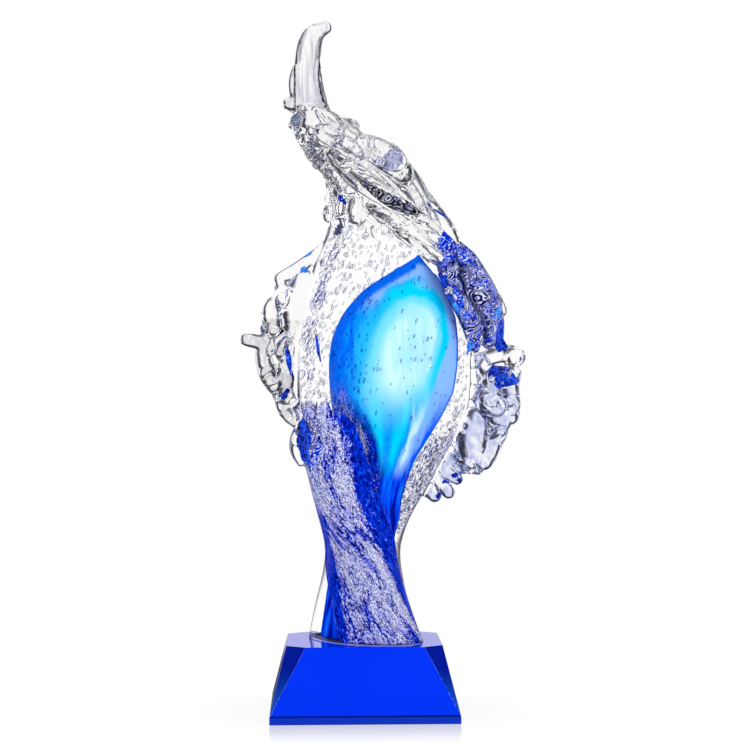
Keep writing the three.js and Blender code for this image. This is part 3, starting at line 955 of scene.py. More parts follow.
@dataclass
class Ovals:
    """Smoothed oval sections of a CAD layer, from its foot to its top."""

    z: Array
    x: Array
    y: Array
    long: Array
    thick: Array
    turn: Array

    DIRECTIONS = 180
    WINDOW = 6
    FOOT_GAP = 0.02 * MM
    TOP_GAP = 0.6 * MM

    @staticmethod
    def crossings(corners: Array, level: float) -> Array:
        """Return the points where faces cross a level, as rows of X and Y.

        Args:
            corners: Faces by corner by axis.
            level: The height of the cut.

        Returns:
            The crossing points.
        """
        found = []
        for first, second in ((0, 1), (1, 2), (2, 0)):
            a, b = corners[:, first], corners[:, second]
            over = (a[:, 2] - level) * (b[:, 2] - level) < 0
            share = (level - a[over, 2]) / (b[over, 2] - a[over, 2])
            found.append(a[over, :2] + (b[over, :2] - a[over, :2]) * share[:, None])
        return np.concatenate(found)

    @staticmethod
    def fit(points: Array, last_turn: float) -> tuple[float, float, float, float, float]:
        """Fit an oval round points.

        Args:
            points: Rows of X and Y.
            last_turn: The turn of the section below, in radians.

        Returns:
            The centre's X and Y, the half length, the half thickness and the turn.
        """
        angles = np.linspace(0.0, math.pi, Ovals.DIRECTIONS, endpoint=False)
        along = points @ np.stack([np.cos(angles), np.sin(angles)])
        widths = along.max(axis=0) - along.min(axis=0)
        best = int(widths.argmax())
        side = (best + Ovals.DIRECTIONS // 2) % Ovals.DIRECTIONS
        turn = angles[best]
        turn += math.pi * round((last_turn - turn) / math.pi)
        middles = (along.max(axis=0) + along.min(axis=0)) / 2
        first = np.array([math.cos(angles[best]), math.sin(angles[best])]) * middles[best]
        second = np.array([math.cos(angles[side]), math.sin(angles[side])]) * middles[side]
        centre = first + second
        return centre[0], centre[1], widths[best] / 2, widths[side] / 2, turn

    @classmethod
    def of_node(cls, name: str, levels: int = 110, calm: float = 1.6) -> "Ovals":
        """Measure a CAD node.

        Args:
            name: The node.
            levels: How many sections to cut.
            calm: How far the sections are smoothed, in levels.

        Returns:
            The sections.
        """
        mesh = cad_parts[name].data
        points = points_of(mesh)
        mesh.calc_loop_triangles()
        picks = np.empty(len(mesh.loop_triangles) * 3, dtype=np.int64)
        mesh.loop_triangles.foreach_get("vertices", picks)
        corners = points[picks.reshape(-1, 3)]
        low, high = points[:, 2].min(), points[:, 2].max()
        heights = np.linspace(low + cls.FOOT_GAP, high - cls.TOP_GAP, levels)
        rows, turn = [], 0.0
        for level in heights:
            row = cls.fit(cls.crossings(corners, level), turn)
            turn = row[4]
            rows.append(row)
        reach = np.arange(-cls.WINDOW, cls.WINDOW + 1)
        weights = np.exp(-0.5 * (reach / calm) ** 2)
        columns = []
        for column in np.array(rows).T:
            padded = np.pad(column, cls.WINDOW, mode="reflect", reflect_type="odd")
            columns.append(np.convolve(padded, weights / weights.sum(), mode="valid"))
        return cls(heights, *columns)

    def at(self, height: Array) -> tuple[Array, ...]:
        """Return the centre's X and Y, half length, half thickness and turn at heights."""
        fields = (self.x, self.y, self.long, self.thick, self.turn)
        return tuple(np.interp(height, self.z, column) for column in fields)

    def seen(self, height: Array) -> tuple[Array, Array]:
        """Measure the sections as they are seen from the front.

        Args:
            height: Heights over the ground.

        Returns:
            The middle's X and the half width at each.
        """
        x, _, long, thick, turn = self.at(height)
        return x, np.hypot(long * np.cos(turn), thick * np.sin(turn))

    def untwist(self, points: Array) -> tuple[Array, Array, Array]:
        """Return points in the frame that turns with the glass.

        Args:
            points: Rows of X, Y and Z.

        Returns:
            The turned points, how far out each is as a share of the oval, and the
            angle round the oval in degrees.
        """
        x, y, long, thick, turn = self.at(points[:, 2])
        dx, dy = points[:, 0] - x, points[:, 1] - y
        along = dx * np.cos(turn) + dy * np.sin(turn)
        across = -dx * np.sin(turn) + dy * np.cos(turn)
        share = np.hypot(along / long, across / thick)
        angle = np.degrees(np.arctan2(across / thick, along / long))
        return np.stack([along, across, points[:, 2]], axis=1), share, angle


@dataclass
class Loft:
    """A smooth closed skin through oval sections."""

    ovals: Ovals
    sides: int = 96
    rings: int = 150
    grow: float = 0.0
    from_share: float = 0.0
    to_share: float = 1.0
    narrow: float = 1.0
    crowding: float = 0.12
    least: float = 0.3 * MM

    def heights(self) -> Array:
        """Return the ring heights, closer together near the top.

        Returns:
            The heights over the ground.
        """
        low, high = self.ovals.z[0], self.ovals.z[-1]
        steps = np.linspace(0.0, 1.0, self.rings)
        eased = steps + self.crowding * np.sin(math.pi * steps) * steps
        eased = eased / eased[-1]
        share = self.from_share + (self.to_share - self.from_share) * eased
        return low + (high - low) * share

    def rows(self) -> Array:
        """Return the ring points as ring by side by axis.

        Returns:
            The points.
        """
        height = self.heights()
        x, y, long, thick, turn = self.ovals.at(height)
        angle = np.linspace(0.0, 2 * math.pi, self.sides, endpoint=False)
        along = np.maximum(long * self.narrow + self.grow, self.least)[:, None] * np.cos(angle)
        across = np.maximum(thick + self.grow, self.least)[:, None] * np.sin(angle)
        cos, sin = np.cos(turn)[:, None], np.sin(turn)[:, None]
        return np.stack(
            [
                x[:, None] + along * cos - across * sin,
                y[:, None] + along * sin + across * cos,
                np.repeat(height[:, None], self.sides, axis=1),
            ],
            axis=2,
        )

    def mesh(self, name: str) -> Mesh:
        """Return the closed mesh.

        Args:
            name: Its name.

        Returns:
            The mesh.
        """
        rows = self.rows()
        count, sides = rows.shape[:2]
        foot, tip = rows[0].mean(axis=0), rows[-1].mean(axis=0)
        points = np.concatenate([rows.reshape(-1, 3), [foot, tip]])
        faces = []
        for ring in range(count - 1):
            for side in range(sides):
                after = (side + 1) % sides
                low, high = ring * sides, (ring + 1) * sides
                faces.append((low + side, low + after, high + after, high + side))
        last = (count - 1) * sides
        for side in range(sides):
            after = (side + 1) % sides
            faces.append((count * sides, after, side))
            faces.append((count * sides + 1, last + side, last + after))
        made = bpy.data.meshes.new(name)
        made.from_pydata(points.tolist(), [], faces)
        shade_smooth(made)
        return made


@dataclass
class Award:
    """What every sub-assembly shares: the measured layers and the finishes."""

    box: list[list[float]]
    blade: Ovals = field(default_factory=lambda: Ovals.of_node("clear_body"))
    flame: Ovals = field(default_factory=lambda: Ovals.of_node("cobalt_layer"))
    skin: BVHTree | None = None
    band_end: Span = (122.0, 165.0)
    crest_border: float = 2.0 * MM
    crest_foot: Span = (0.206, 0.214)
    crest_top: Span = (0.047, 0.297)
    crest_slope: float = 0.6
    pocket: Span = (-0.0345, 0.1660)
    pocket_half: Span = (0.0080, 0.0165)
    silver_least: float = 0.12

    @property
    def foot(self) -> float:
        """Return the height of the sculpture's cut foot."""
        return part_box("clear_body")[0][2]

    def front(self, x: float, z: float, depth: float) -> Vector | None:
        """Find a place under the front of the clear glass.

        Args:
            x: Across the award.
            z: Height over the ground.
            depth: How far behind the glass's front.

        Returns:
            The place, or None where there is no glass.
        """
        hit = self.skin.ray_cast(Vector((x, -RAY_START, z)), Vector((0.0, 1.0, 0.0)))
        return None if hit[0] is None else hit[0] + Vector((0.0, depth, 0.0))

    def band(self, height: Array, angle: Array) -> Array:
        """Return how seeded the glass is, from 0 to 1, at heights and angles round it.

        Args:
            height: Heights over the ground.
            angle: Angles round the oval in degrees, 0 at its leading edge.

        Returns:
            The shares.
        """
        rise = (height - self.foot) / MM
        left = np.interp(rise, [0, 24, 48, 74, 100, 135, 165], [-92, -90, -106, -108, -90, -60, -20])
        right = np.interp(
            rise, [0, 24, 48, 61, 98, 122, 135, 150, 165], [38, 40, 52, 60, 62, 61, 56, 40, 28]
        )
        inside = smooth_step(-8.0, 2.0, angle - left) * smooth_step(-4.0, 2.0, right - angle)
        return inside * (1.0 - smooth_step(*self.band_end, rise))

    def crest(self, points: Array) -> Array:
        """Return how far points lie in the cobalt of the right crest or the left pocket.

        Args:
            points: Rows of X, Y and Z.

        Returns:
            The shares, from 0 to 1.
        """
        across, up = points[:, 0], points[:, 2]
        inner = np.interp(
            up, [0.205, 0.2295, 0.2511, 0.2697, 0.2852], [0.074, 0.0659, 0.0566, 0.0480, 0.0460]
        )
        roof = self.crest_top[1] - self.crest_slope * (across - self.crest_top[0])
        crest = smooth_step(-self.crest_border, self.crest_border, across - inner)
        crest *= smooth_step(-self.crest_border, self.crest_border, roof - up)
        crest *= smooth_step(*self.crest_foot, up)
        pocket = np.hypot(
            (across - self.pocket[0]) / self.pocket_half[0], (up - self.pocket[1]) / self.pocket_half[1]
        )
        return np.maximum(crest, smooth_step(0.0, 1.0, 1.5 - pocket))

    def silver(self, height: Array, angle: Array) -> Array:
        """Return how silver the band is, less along both of its sides, from 0 to 1.

        Args:
            height: Heights over the ground.
            angle: Angles round the oval in degrees.

        Returns:
            The shares.
        """
        rise = (height - self.foot) / MM
        start = np.interp(rise, [0, 24, 48, 61, 74, 86], [-84, -78, -70, -56, -32, -60])
        stop = np.interp(
            rise,
            [0, 12, 24, 36, 48, 61, 74, 86, 98, 122, 135, 165],
            [26, 22, 20, 22, 26, 28, 34, 38, 44, 50, 45, 30],
        )
        inside = smooth_step(-8.0, 6.0, angle - start) * smooth_step(-14.0, 12.0, stop - angle)
        return self.silver_least + (1.0 - self.silver_least) * inside

    def mark(self, mesh: Mesh, ovals: Ovals, points: Array) -> Array:
        """Store on a mesh its untwisted points and where its seed and its silver lie.

        Args:
            mesh: The mesh.
            ovals: The sections that it follows.
            points: Its points.

        Returns:
            The angles of the points round the sections, in degrees.
        """
        turned, _, angle = ovals.untwist(points)
        put_value(mesh, "untwist", turned)
        put_value(mesh, "band", self.band(points[:, 2], angle))
        put_value(mesh, "silver", self.silver(points[:, 2], angle))
        return angle


@dataclass
class Flame:
    """The coloured layers inside the clear glass."""

    award: Award
    sides: int = 128
    rings: int = 220
    narrow: float = 0.99
    shrink: float = 0.4 * MM
    left_rim: float = 8.0 * MM
    right_rim: float = 2.0 * MM
    rim_from: float = 0.60
    rim_turn: float = 0.35
    right_from: float = 0.1
    cap: Span = (0.2740, 0.2775)
    tip_length: float = 9.0 * MM
    tip_rise: float = 4.5 * MM
    tip_taper: float = 0.75
    tip_shift: float = 0.0025

    def build(self) -> list[Piece]:
        """Make the flame's skin and dress the layers inside it.

        Returns:
            The new pieces.
        """
        ovals = self.award.flame
        loft = Loft(ovals, self.sides, self.rings, -self.shrink, 0.003, 1.0, self.narrow)
        mesh = loft.mesh("flame_skin")
        points = self.shaped(points_of(mesh))
        put_points(mesh, points)
        self.award.mark(mesh, ovals, points)
        side = self.side(points)
        put_value(mesh, "side", side)
        put_value(mesh, "rim", self.rim(points, side))
        skin = add_object("flame_skin", mesh)
        mesh.materials.append(FlameGlass().build())
        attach(skin, BODY)
        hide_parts("cobalt_layer")
        dress_node("aqua_layer", CloudyGlass("aqua_glass", rgb(0, 200, 255), rgb(120, 230, 255)))
        dress_node("opal_core", CloudyGlass("opal_glass", rgb(214, 244, 255), rgb(240, 252, 255)))
        return [skin]

    def right_share(self, height: Array) -> Array:
        """Return how wide the flame's right half is at heights, as a share of its oval."""
        rise = (height - self.award.foot) / MM
        return np.interp(
            rise, [61, 74, 86, 98, 110, 122, 135, 152], [1.0, 0.94, 0.74, 0.66, 0.66, 0.76, 0.88, 1.0]
        )

    def shaped(self, points: Array) -> Array:
        """Return the flame's points with its right side drawn in and its tip drawn up.

        Args:
            points: Rows of X, Y and Z.

        Returns:
            The moved points.
        """
        x, y, _, _, _ = self.award.flame.at(points[:, 2])
        across = points[:, 0] - x
        share = np.where(across > 0, self.right_share(points[:, 2]), 1.0)
        top = self.award.flame.z[-1]
        near = np.clip((points[:, 2] - top + self.tip_length) / self.tip_length, 0.0, 1.0)
        taper = 1.0 - self.tip_taper * near**3
        out = points.copy()
        out[:, 0] = x + across * (share * taper) + self.tip_shift * near**2
        out[:, 1] = y + (points[:, 1] - y) * taper
        out[:, 2] += self.tip_rise * near**2
        return out

    def side(self, points: Array) -> Array:
        """Return where each point is between the flame's left, -1, and its right, 1.

        Args:
            points: Rows of X, Y and Z.

        Returns:
            The places.
        """
        x, half = self.award.flame.seen(points[:, 2])
        half = half * self.narrow
        half = np.where(points[:, 0] > x, half * self.right_share(points[:, 2]), half)
        return np.clip((points[:, 0] - x) / half, -1.0, 1.0)

    def rim(self, points: Array, side: Array) -> Array:
        """Return how near each point is to the outline seen from the front, 0 to 1.

        Args:
            points: Rows of X, Y and Z.
            side: Where each is between left, -1, and right, 1.

        Returns:
            The shares.
        """
        flame = self.award.flame
        middle, half = flame.seen(flame.z)
        half = half * self.narrow
        edge_x = np.concatenate([middle - half, middle + half * self.right_share(flame.z)])
        edge_z = np.concatenate([flame.z, flame.z])
        gap = np.full(len(points), 1.0)
        for x, z in zip(edge_x, edge_z):
            gap = np.minimum(gap, np.hypot(points[:, 0] - x, points[:, 2] - z))
        width = np.where(side < self.right_from, self.left_rim, self.right_rim)
        inwards = smooth_step(0.0, 1.0, (gap / width - self.rim_from) / self.rim_turn)
        return np.maximum(1.0 - inwards, smooth_step(*self.cap, points[:, 2]))


@dataclass(frozen=True)
class Strand:
    """A thread of glass drawn up the crown, by its angles, rises and thickness."""

    start_angle: float
    end_angle: float
    start_rise: float
    end_rise: float
    radius: float


@dataclass(frozen=True)
class Curl:
    """A rolled ring of glass on the front and the back, by its place and sizes."""

    x: float
    z: float
    radius: float
    tube: float
    squeeze: float = 1.0
    lean: float = 0.0


def tube(path: Array, radii: Array, sides: int = 10) -> Lump:
    """Return a closed round tube along a path.

    Args:
        path: Rows of points.
        radii: The tube's radius at each point.
        sides: How many sides it has.

    Returns:
        The tube.
    """
    work = bmesh.new()
    along = np.gradient(path, axis=0)
    rings = []
    for spot, way, radius in zip(path, along, radii):
        turn = Vector(way).to_track_quat("Z", "Y")
        ring = []
        for side in range(sides):
            angle = 2 * math.pi * side / sides
            rim = turn @ Vector((math.cos(angle) * radius, math.sin(angle) * radius, 0.0))
            ring.append(work.verts.new(Vector(spot) + rim))
        rings.append(ring)
    for low, high in zip(rings, rings[1:]):
        for side in range(sides):
            after = (side + 1) % sides
            work.faces.new((low[side], low[after], high[after], high[side]))
    work.faces.new(list(reversed(rings[0])))
    work.faces.new(rings[-1])
    return work


class Zone(IntEnum):
    """Zones of the fused glass, each with its own finish."""

    BLADE = 0
    WORKED = 1
    LUMPS = 2
    CREST = 3
    WING = 4
    HORN = 5
    FINGER = 6


@dataclass
class HotGlass:
    """The clear glass: the blade and all applied pieces, fused and rippled."""

    award: Award
    strands: tuple[Strand, ...] = (
        Strand(172, 150, 208, 296, 2.3 * MM), Strand(158, 128, 204, 322, 2.0 * MM),
        Strand(146, 104, 206, 300, 2.6 * MM), Strand(131, 96, 212, 326, 1.7 * MM),
        Strand(118, 70, 220, 312, 2.4 * MM), Strand(104, 62, 232, 330, 1.8 * MM),
        Strand(92, 40, 240, 318, 2.2 * MM), Strand(74, 30, 246, 308, 1.6 * MM),
        Strand(58, 8, 250, 322, 2.4 * MM), Strand(34, -12, 254, 316, 1.9 * MM),
        Strand(-158, -126, 206, 318, 2.3 * MM), Strand(-140, -108, 210, 300, 1.9 * MM),
        Strand(-122, -80, 218, 326, 2.5 * MM), Strand(-102, -66, 228, 306, 1.8 * MM),
        Strand(-84, -40, 240, 322, 2.3 * MM), Strand(-60, -20, 248, 310, 1.9 * MM),
    )
    strand_steps: int = 70
    knots: int = 24
    knot_seed: int = 5
    knot_angles: Span = (-75.0, 75.0)
    knot_rises: Span = (286.0, 322.0)
    knot_radii: Span = (2.2, 4.0)
    knot_pulls: Span = (1.0, 1.7)
    knot_sink: float = 0.8 * MM
    wound_at: tuple[float, ...] = (0.10, 0.45, 0.80)
    wound_tube: float = 1.7 * MM
    curls: tuple[Curl, ...] = (
        Curl(0.0690, 0.2430, 0.0100, 0.0020, 0.55, -38), Curl(0.0560, 0.2700, 0.0068, 0.0015, 0.50, -40),
        Curl(0.0860, 0.2070, 0.0066, 0.0018, 0.80, 0), Curl(0.0925, 0.2180, 0.0050, 0.0015, 0.9, 0),
        Curl(0.0800, 0.1900, 0.0078, 0.0018, 0.60, -30), Curl(0.0900, 0.1890, 0.0060, 0.0016, 0.75, 20),
        Curl(0.0830, 0.1700, 0.0066, 0.0016, 0.60, 30),
        Curl(0.0610, 0.1780, 0.0062, 0.0015, 0.55, -40), Curl(0.0640, 0.1500, 0.0056, 0.0014, 0.60, -20),
        Curl(-0.0496, 0.2540, 0.0066, 0.0016, 0.80, 70), Curl(-0.0560, 0.2080, 0.0072, 0.0015, 0.60, 30),
        Curl(-0.0500, 0.1950, 0.0058, 0.0014, 0.65, 0), Curl(-0.0440, 0.1840, 0.0056, 0.0014, 0.70, -30),
        Curl(-0.0390, 0.1690, 0.0056, 0.0014, 0.62, 0), Curl(-0.0292, 0.1612, 0.0040, 0.0012, 0.90, 0),
        Curl(0.0120, 0.3440, 0.0120, 0.0018, 0.60, -35),
        Curl(0.0180, 0.3390, 0.0070, 0.0014, 0.80, -30), Curl(-0.0200, 0.3560, 0.0068, 0.0016, 0.60, -30),
        Curl(-0.0300, 0.3440, 0.0060, 0.0015, 0.70, 20), Curl(-0.0130, 0.3380, 0.0064, 0.0015, 0.6, -40),
    )
    blade_sides: int = 120
    blade_rings: int = 240
    blade_gain: float = 0.1 * MM
    voxel: float = 0.8 * MM
    swell: float = 0.35 * MM
    calm_passes: int = 3
    ripple: float = 0.12 * MM
    ripple_scale: float = 45.0
    fold: float = 0.55 * MM
    fold_lean: float = math.radians(38)
    fold_draw: float = 0.6
    fold_scale: float = 95.0
    fold_sink: float = 0.55
    crease: float = 0.45
    crease_scale: float = 240.0
    stir: float = 0.004
    stir_scale: float = 60.0
    stir_seed: int = 1
    most_triangles: int = 190000
    crown_foot: float = 0.285
    crown_turn: float = 0.045
    crown_fold_turn: float = 0.03
    horn_calm: Span = (0.362, 0.375)
    horn_foot: float = 0.374
    lump_top: float = 0.226
    finger_top: float = 0.242
    wing_window: tuple[Span, Span, Span] = ((-0.015, -0.028), (0.238, 0.246), (0.302, 0.290))
    neck_window: tuple[Span, Span, Span] = ((0.008, 0.002), (0.292, 0.300), (0.334, 0.326))
    proud: Span = (1.02, 1.12)
    border: float = 10.0 * MM
    border_scale: float = 130.0
    worked_from: float = 0.35
    below_foot: float = -0.012
    unfused: tuple[str, ...] = (
        "base_block", "bond_film", "clear_body", "cobalt_layer", "aqua_layer", "opal_core",
    )

    def applied(self) -> list[str]:
        """Return the names of the pieces that are put on the blade."""
        return sorted(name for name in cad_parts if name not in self.unfused)

    def joined(self) -> Piece:
        """Return one object with the blade and the softened, swollen applied pieces.

        Returns:
            The object.
        """
        work = bmesh.new()
        for name in self.applied():
            copied = node_mesh(name)
            work.from_mesh(copied)
            bpy.data.meshes.remove(copied)
        pieces = bpy.data.meshes.new("applied")
        work.to_mesh(pieces)
        work.free()
        soft = add_object("applied", pieces)
        rounded = soft.modifiers.new("round", "SUBSURF")
        rounded.levels = rounded.render_levels = 2
        settle(soft)
        put_points(soft.data, points_of(soft.data) + normals_of(soft.data) * self.swell)
        work = bmesh.new()
        work.from_mesh(soft.data)
        blade = Loft(self.award.blade, self.blade_sides, self.blade_rings, self.blade_gain, self.below_foot)
        work.from_mesh(blade.mesh("blade"))
        work.to_mesh(soft.data)
        surface = BVHTree.FromBMesh(work)
        for extra in (*self.threads(), *self.knotted(), *self.rolled(surface), *self.wound()):
            added = bpy.data.meshes.new("extra")
            extra.to_mesh(added)
            extra.free()
            work.from_mesh(added)
            bpy.data.meshes.remove(added)
        work.to_mesh(soft.data)
        work.free()
        return soft

    def on_blade(self, angle: Array, rise: Array, out: Array | float) -> Array:
        """Return points on the blade's skin.

        Args:
            angle: Angles round the oval in degrees.
            rise: Rises over the foot in millimetres.
            out: How far out from the skin.

        Returns:
            Rows of X, Y and Z.
        """
        height = self.award.foot + rise * MM
        x, y, long, thick, turn = self.award.blade.at(height)
        along = (long + out) * np.cos(np.radians(angle))
        across = (thick + out) * np.sin(np.radians(angle))
        return np.stack(
            [
                x + along * np.cos(turn) - across * np.sin(turn),
                y + along * np.sin(turn) + across * np.cos(turn),
                height,
            ],
            axis=-1,
        )

    def threads(self) -> list[Lump]:
        """Return the threads that are drawn up the crown.

        Returns:
            The threads.
        """
        made = []
        for number, strand in enumerate(self.strands):
            share = np.linspace(0.0, 1.0, self.strand_steps)
            swing = 9.0 * np.sin(share * 9.0 + number * 1.7)
            angle = strand.start_angle + (strand.end_angle - strand.start_angle) * share + swing
            rise = strand.start_rise + (strand.end_rise - strand.start_rise) * share
            radii = strand.radius * (0.35 + 0.65 * np.sin(math.pi * share) ** 0.5)
            radii *= 1.0 + 0.22 * np.sin(share * 23.0 + number)
            made.append(tube(self.on_blade(angle, rise, 0.0), radii))
        return made

    def knotted(self) -> list[Lump]:
        """Return the knots on the crown's left flank, front and back.

        Returns:
            The knots.
        """
        chance = np.random.default_rng(self.knot_seed)
        made = []
        for _ in range(self.knots):
            angle = chance.uniform(*self.knot_angles)
            rise = chance.uniform(*self.knot_rises)
            centre = Vector(self.on_blade(np.array(angle), np.array(rise), -self.knot_sink))
            work = bmesh.new()
            radius = chance.uniform(*self.knot_radii) * MM
            bmesh.ops.create_icosphere(work, subdivisions=3, radius=radius)
            turn = Matrix.Rotation(chance.uniform(0.0, math.pi), 3, "Y")
            pull = chance.uniform(*self.knot_pulls)
            for vert in work.verts:
                vert.co = centre + turn @ Vector((vert.co.x, vert.co.y * 0.9, vert.co.z * pull))
            made.append(work)
        return made

    def wound(self) -> list[Lump]:
        """Return the rings wound round the left finger.

        Returns:
            The rings.
        """
        low, high = (Vector(corner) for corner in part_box("left_finger"))
        middle, half = (low + high) / 2, (high - low) / 2
        made = []
        angle = np.linspace(0.0, 2 * math.pi, 30)
        for share in self.wound_at:
            radius = min(half.y, half.z) * 0.88
            lift = half.z * 0.25 * share
            rows = np.stack(
                [
                    np.full(len(angle), middle.x + half.x * share) + 1.6 * MM * np.sin(angle),
                    middle.y + radius * np.cos(angle),
                    middle.z - lift + radius * np.sin(angle),
                ],
                axis=1,
            )
            made.append(tube(rows, np.full(len(rows), self.wound_tube), 8))
        return made

    def rolled(self, surface: BVHTree) -> list[Lump]:
        """Return the rolled rings, laid on the front and on the back of the glass.

        Args:
            surface: The glass that they lie on.

        Returns:
            The rings.
        """
        made = []
        angle = np.linspace(0.0, 2 * math.pi, 42)
        for curl in self.curls:
            for away in (1.0, -1.0):
                lean = math.radians(curl.lean)
                wide = curl.radius * np.cos(angle)
                high = curl.radius * curl.squeeze * np.sin(angle)
                x = curl.x + wide * math.cos(lean) - high * math.sin(lean)
                z = curl.z + wide * math.sin(lean) + high * math.cos(lean)
                path = []
                for spot_x, spot_z in zip(x, z):
                    start = Vector((spot_x, -RAY_START * away, spot_z))
                    hit = surface.ray_cast(start, Vector((0.0, away, 0.0)))
                    if hit[0] is not None:
                        path.append(hit[0])
                if len(path) < len(angle) // 2:
                    continue
                rows = np.array([tuple(spot) for spot in path])
                padded = np.pad(rows[:, 1], 3, mode="edge")
                rows[:, 1] = np.convolve(padded, np.ones(7) / 7, mode="valid")
                radii = curl.tube * (0.8 + 0.3 * np.sin(np.linspace(0.0, 9.0, len(rows))))
                made.append(tube(rows, radii))
        return made

    def worked(self, points: Array) -> Array:
        """Return how far each point is on worked glass and not on the calm blade, 0 to 1.

        Args:
            points: Rows of X, Y and Z.

        Returns:
            The shares.
        """
        _, share, _ = self.award.blade.untwist(points)
        proud = smooth_step(*self.proud, share)
        crown = smooth_step(self.crown_foot, self.crown_foot + self.crown_turn, points[:, 2])
        return np.maximum.reduce([proud, crown * 0.85, self.award.crest(points) * 0.8])

    @staticmethod
    def window(points: Array, edges: tuple[Span, Span, Span]) -> Array:
        """Measure how far points are in a soft window, as it is seen from the front.

        Args:
            points: Rows of X, Y and Z.
            edges: Where it begins across, at its foot and at its top.

        Returns:
            The shares, from 0 to 1.
        """
        side, foot, top = edges
        across, up = points[:, 0], points[:, 2]
        return smooth_step(*side, across) * smooth_step(*foot, up) * smooth_step(*top, up)

    def folds(self, mesh: Mesh) -> None:
        """Fold the worked glass into bulges and creases, and ripple the blade.

        Args:
            mesh: The fused glass.
        """
        # Without a seed, noise_vector starts from the clock and each run differs
        noise.seed_set(self.stir_seed)
        points, normals = points_of(mesh), normals_of(mesh)
        high = smooth_step(self.crown_foot, self.crown_foot + self.crown_fold_turn, points[:, 2])
        smooth = np.maximum.reduce(
            [
                0.85 * self.window(points, self.wing_window),
                0.55 * self.award.crest(points),
                0.85 * smooth_step(*self.horn_calm, points[:, 2]),
                0.35 * (1.0 - high),
                self.window(points, self.neck_window),
            ]
        )
        rough = self.worked(points) * (1.0 - smooth)
        lean = Matrix.Rotation(self.fold_lean, 3, "Y")
        lifts = np.empty(len(points))
        for index, point in enumerate(points):
            spot = Vector(point)
            lift = noise.noise(spot * self.ripple_scale) * self.ripple
            if rough[index] > 0.01:
                drawn = lean @ spot
                drawn.z *= 1.0 - self.fold_draw * high[index]
                drawn += noise.noise_vector(spot * self.stir_scale) * self.stir
                bulge = abs(noise.noise(drawn * self.fold_scale)) * 2.0 - self.fold_sink
                bulge += self.crease * high[index] * noise.noise(drawn * self.crease_scale)
                lift += bulge * self.fold * rough[index]
            lifts[index] = lift
        put_points(mesh, points + normals * lifts[:, None])

    def dress(self, mesh: Mesh) -> None:
        """Give each zone of the glass its finish.

        Args:
            mesh: The fused glass.
        """
        finishes = {
            Zone.BLADE: ClearGlass("clear_glass", 1.07, (0.995, 0.995, 1.0), 0.10, 130.0),
            Zone.WORKED: ClearGlass("worked_glass", 1.34, (0.97, 0.97, 0.97), 0.12, 240.0),
            Zone.LUMPS: ClearGlass(
                "lump_glass", 1.33, (0.97, 0.975, 0.995), 0.10, 220.0, (0.70, 0.73, 0.90), 150.0
            ),
            Zone.CREST: ClearGlass("crest_glass", 1.24, (0.99, 0.99, 1.0), 0.05, 160.0),
            Zone.WING: ClearGlass("wing_glass", 1.27, (0.99, 0.99, 0.995), 0.04, 120.0),
            Zone.HORN: ClearGlass(
                "horn_glass", 1.13, (0.985, 0.985, 0.988), 0.40, 170.0, (0.74, 0.74, 0.79), 150.0, 0.1
            ),
            Zone.FINGER: ClearGlass(
                "finger_glass", 1.35, (0.97, 0.97, 0.972), 0.14, 260.0, (0.76, 0.76, 0.79), 190.0
            ),
        }
        mesh.materials.clear()
        for zone in Zone:
            mesh.materials.append(finishes[zone].build())
        centres = np.empty(len(mesh.polygons) * 3)
        mesh.polygons.foreach_get("center", centres)
        centres = centres.reshape(-1, 3)
        stray = np.array([noise.noise(Vector(centre) * self.border_scale) for centre in centres])
        up = centres[:, 2] + stray * self.border
        worked = self.worked(centres) + stray * 0.5 > self.worked_from
        zones = np.where(worked, Zone.WORKED, Zone.BLADE).astype(np.int32)
        zones[worked & (up < self.lump_top)] = Zone.LUMPS
        zones[worked & (up < self.finger_top) & (centres[:, 0] < 0.0)] = Zone.FINGER
        zones[worked & (self.award.crest(centres) > 0.4)] = Zone.CREST
        zones[worked & (self.window(centres, self.wing_window) > 0.5)] = Zone.WING
        zones[up > self.horn_foot] = Zone.HORN
        mesh.polygons.foreach_set("material_index", zones)

    def build(self) -> list[Piece]:
        """Make the fused clear glass.

        Returns:
            The new piece.
        """
        glass = self.joined()
        glass.name = "hot_glass"
        fuse = glass.modifiers.new("fuse", "REMESH")
        fuse.mode = "VOXEL"
        fuse.voxel_size = self.voxel
        calm = glass.modifiers.new("calm", "SMOOTH")
        calm.factor = 0.5
        calm.iterations = self.calm_passes
        settle(glass)
        thin = glass.modifiers.new("thin", "DECIMATE")
        thin.ratio = min(1.0, self.most_triangles / (2 * len(glass.data.polygons)))
        settle(glass)
        drop_doubled_faces(glass.data)
        self.folds(glass.data)
        low, high = self.award.box
        points = points_of(glass.data)
        points[:, 2] = np.clip(points[:, 2], self.award.foot, high[2])
        points[:, 0] = np.clip(points[:, 0], low[0], high[0])
        put_points(glass.data, points)
        shade_smooth(glass.data)
        self.dress(glass.data)
        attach(glass, BODY)
        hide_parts("clear_body", *self.applied())
        self.award.skin = BVHTree.FromObject(glass, bpy.context.evaluated_depsgraph_get())
        return [glass]


class Field(Enum):
    """Where a field of bubbles lies."""

    FLAME = "over the flame"
    CLEAR = "in the clear glass"
    LEAVES = "in a row beside the flame"


@dataclass(frozen=True)
class BubbleSizes:
    """Sizes of one field of bubbles, in metres, and how many there are."""

    length: float
    girth: float
    sink: float
    crowd: float
    seed: int


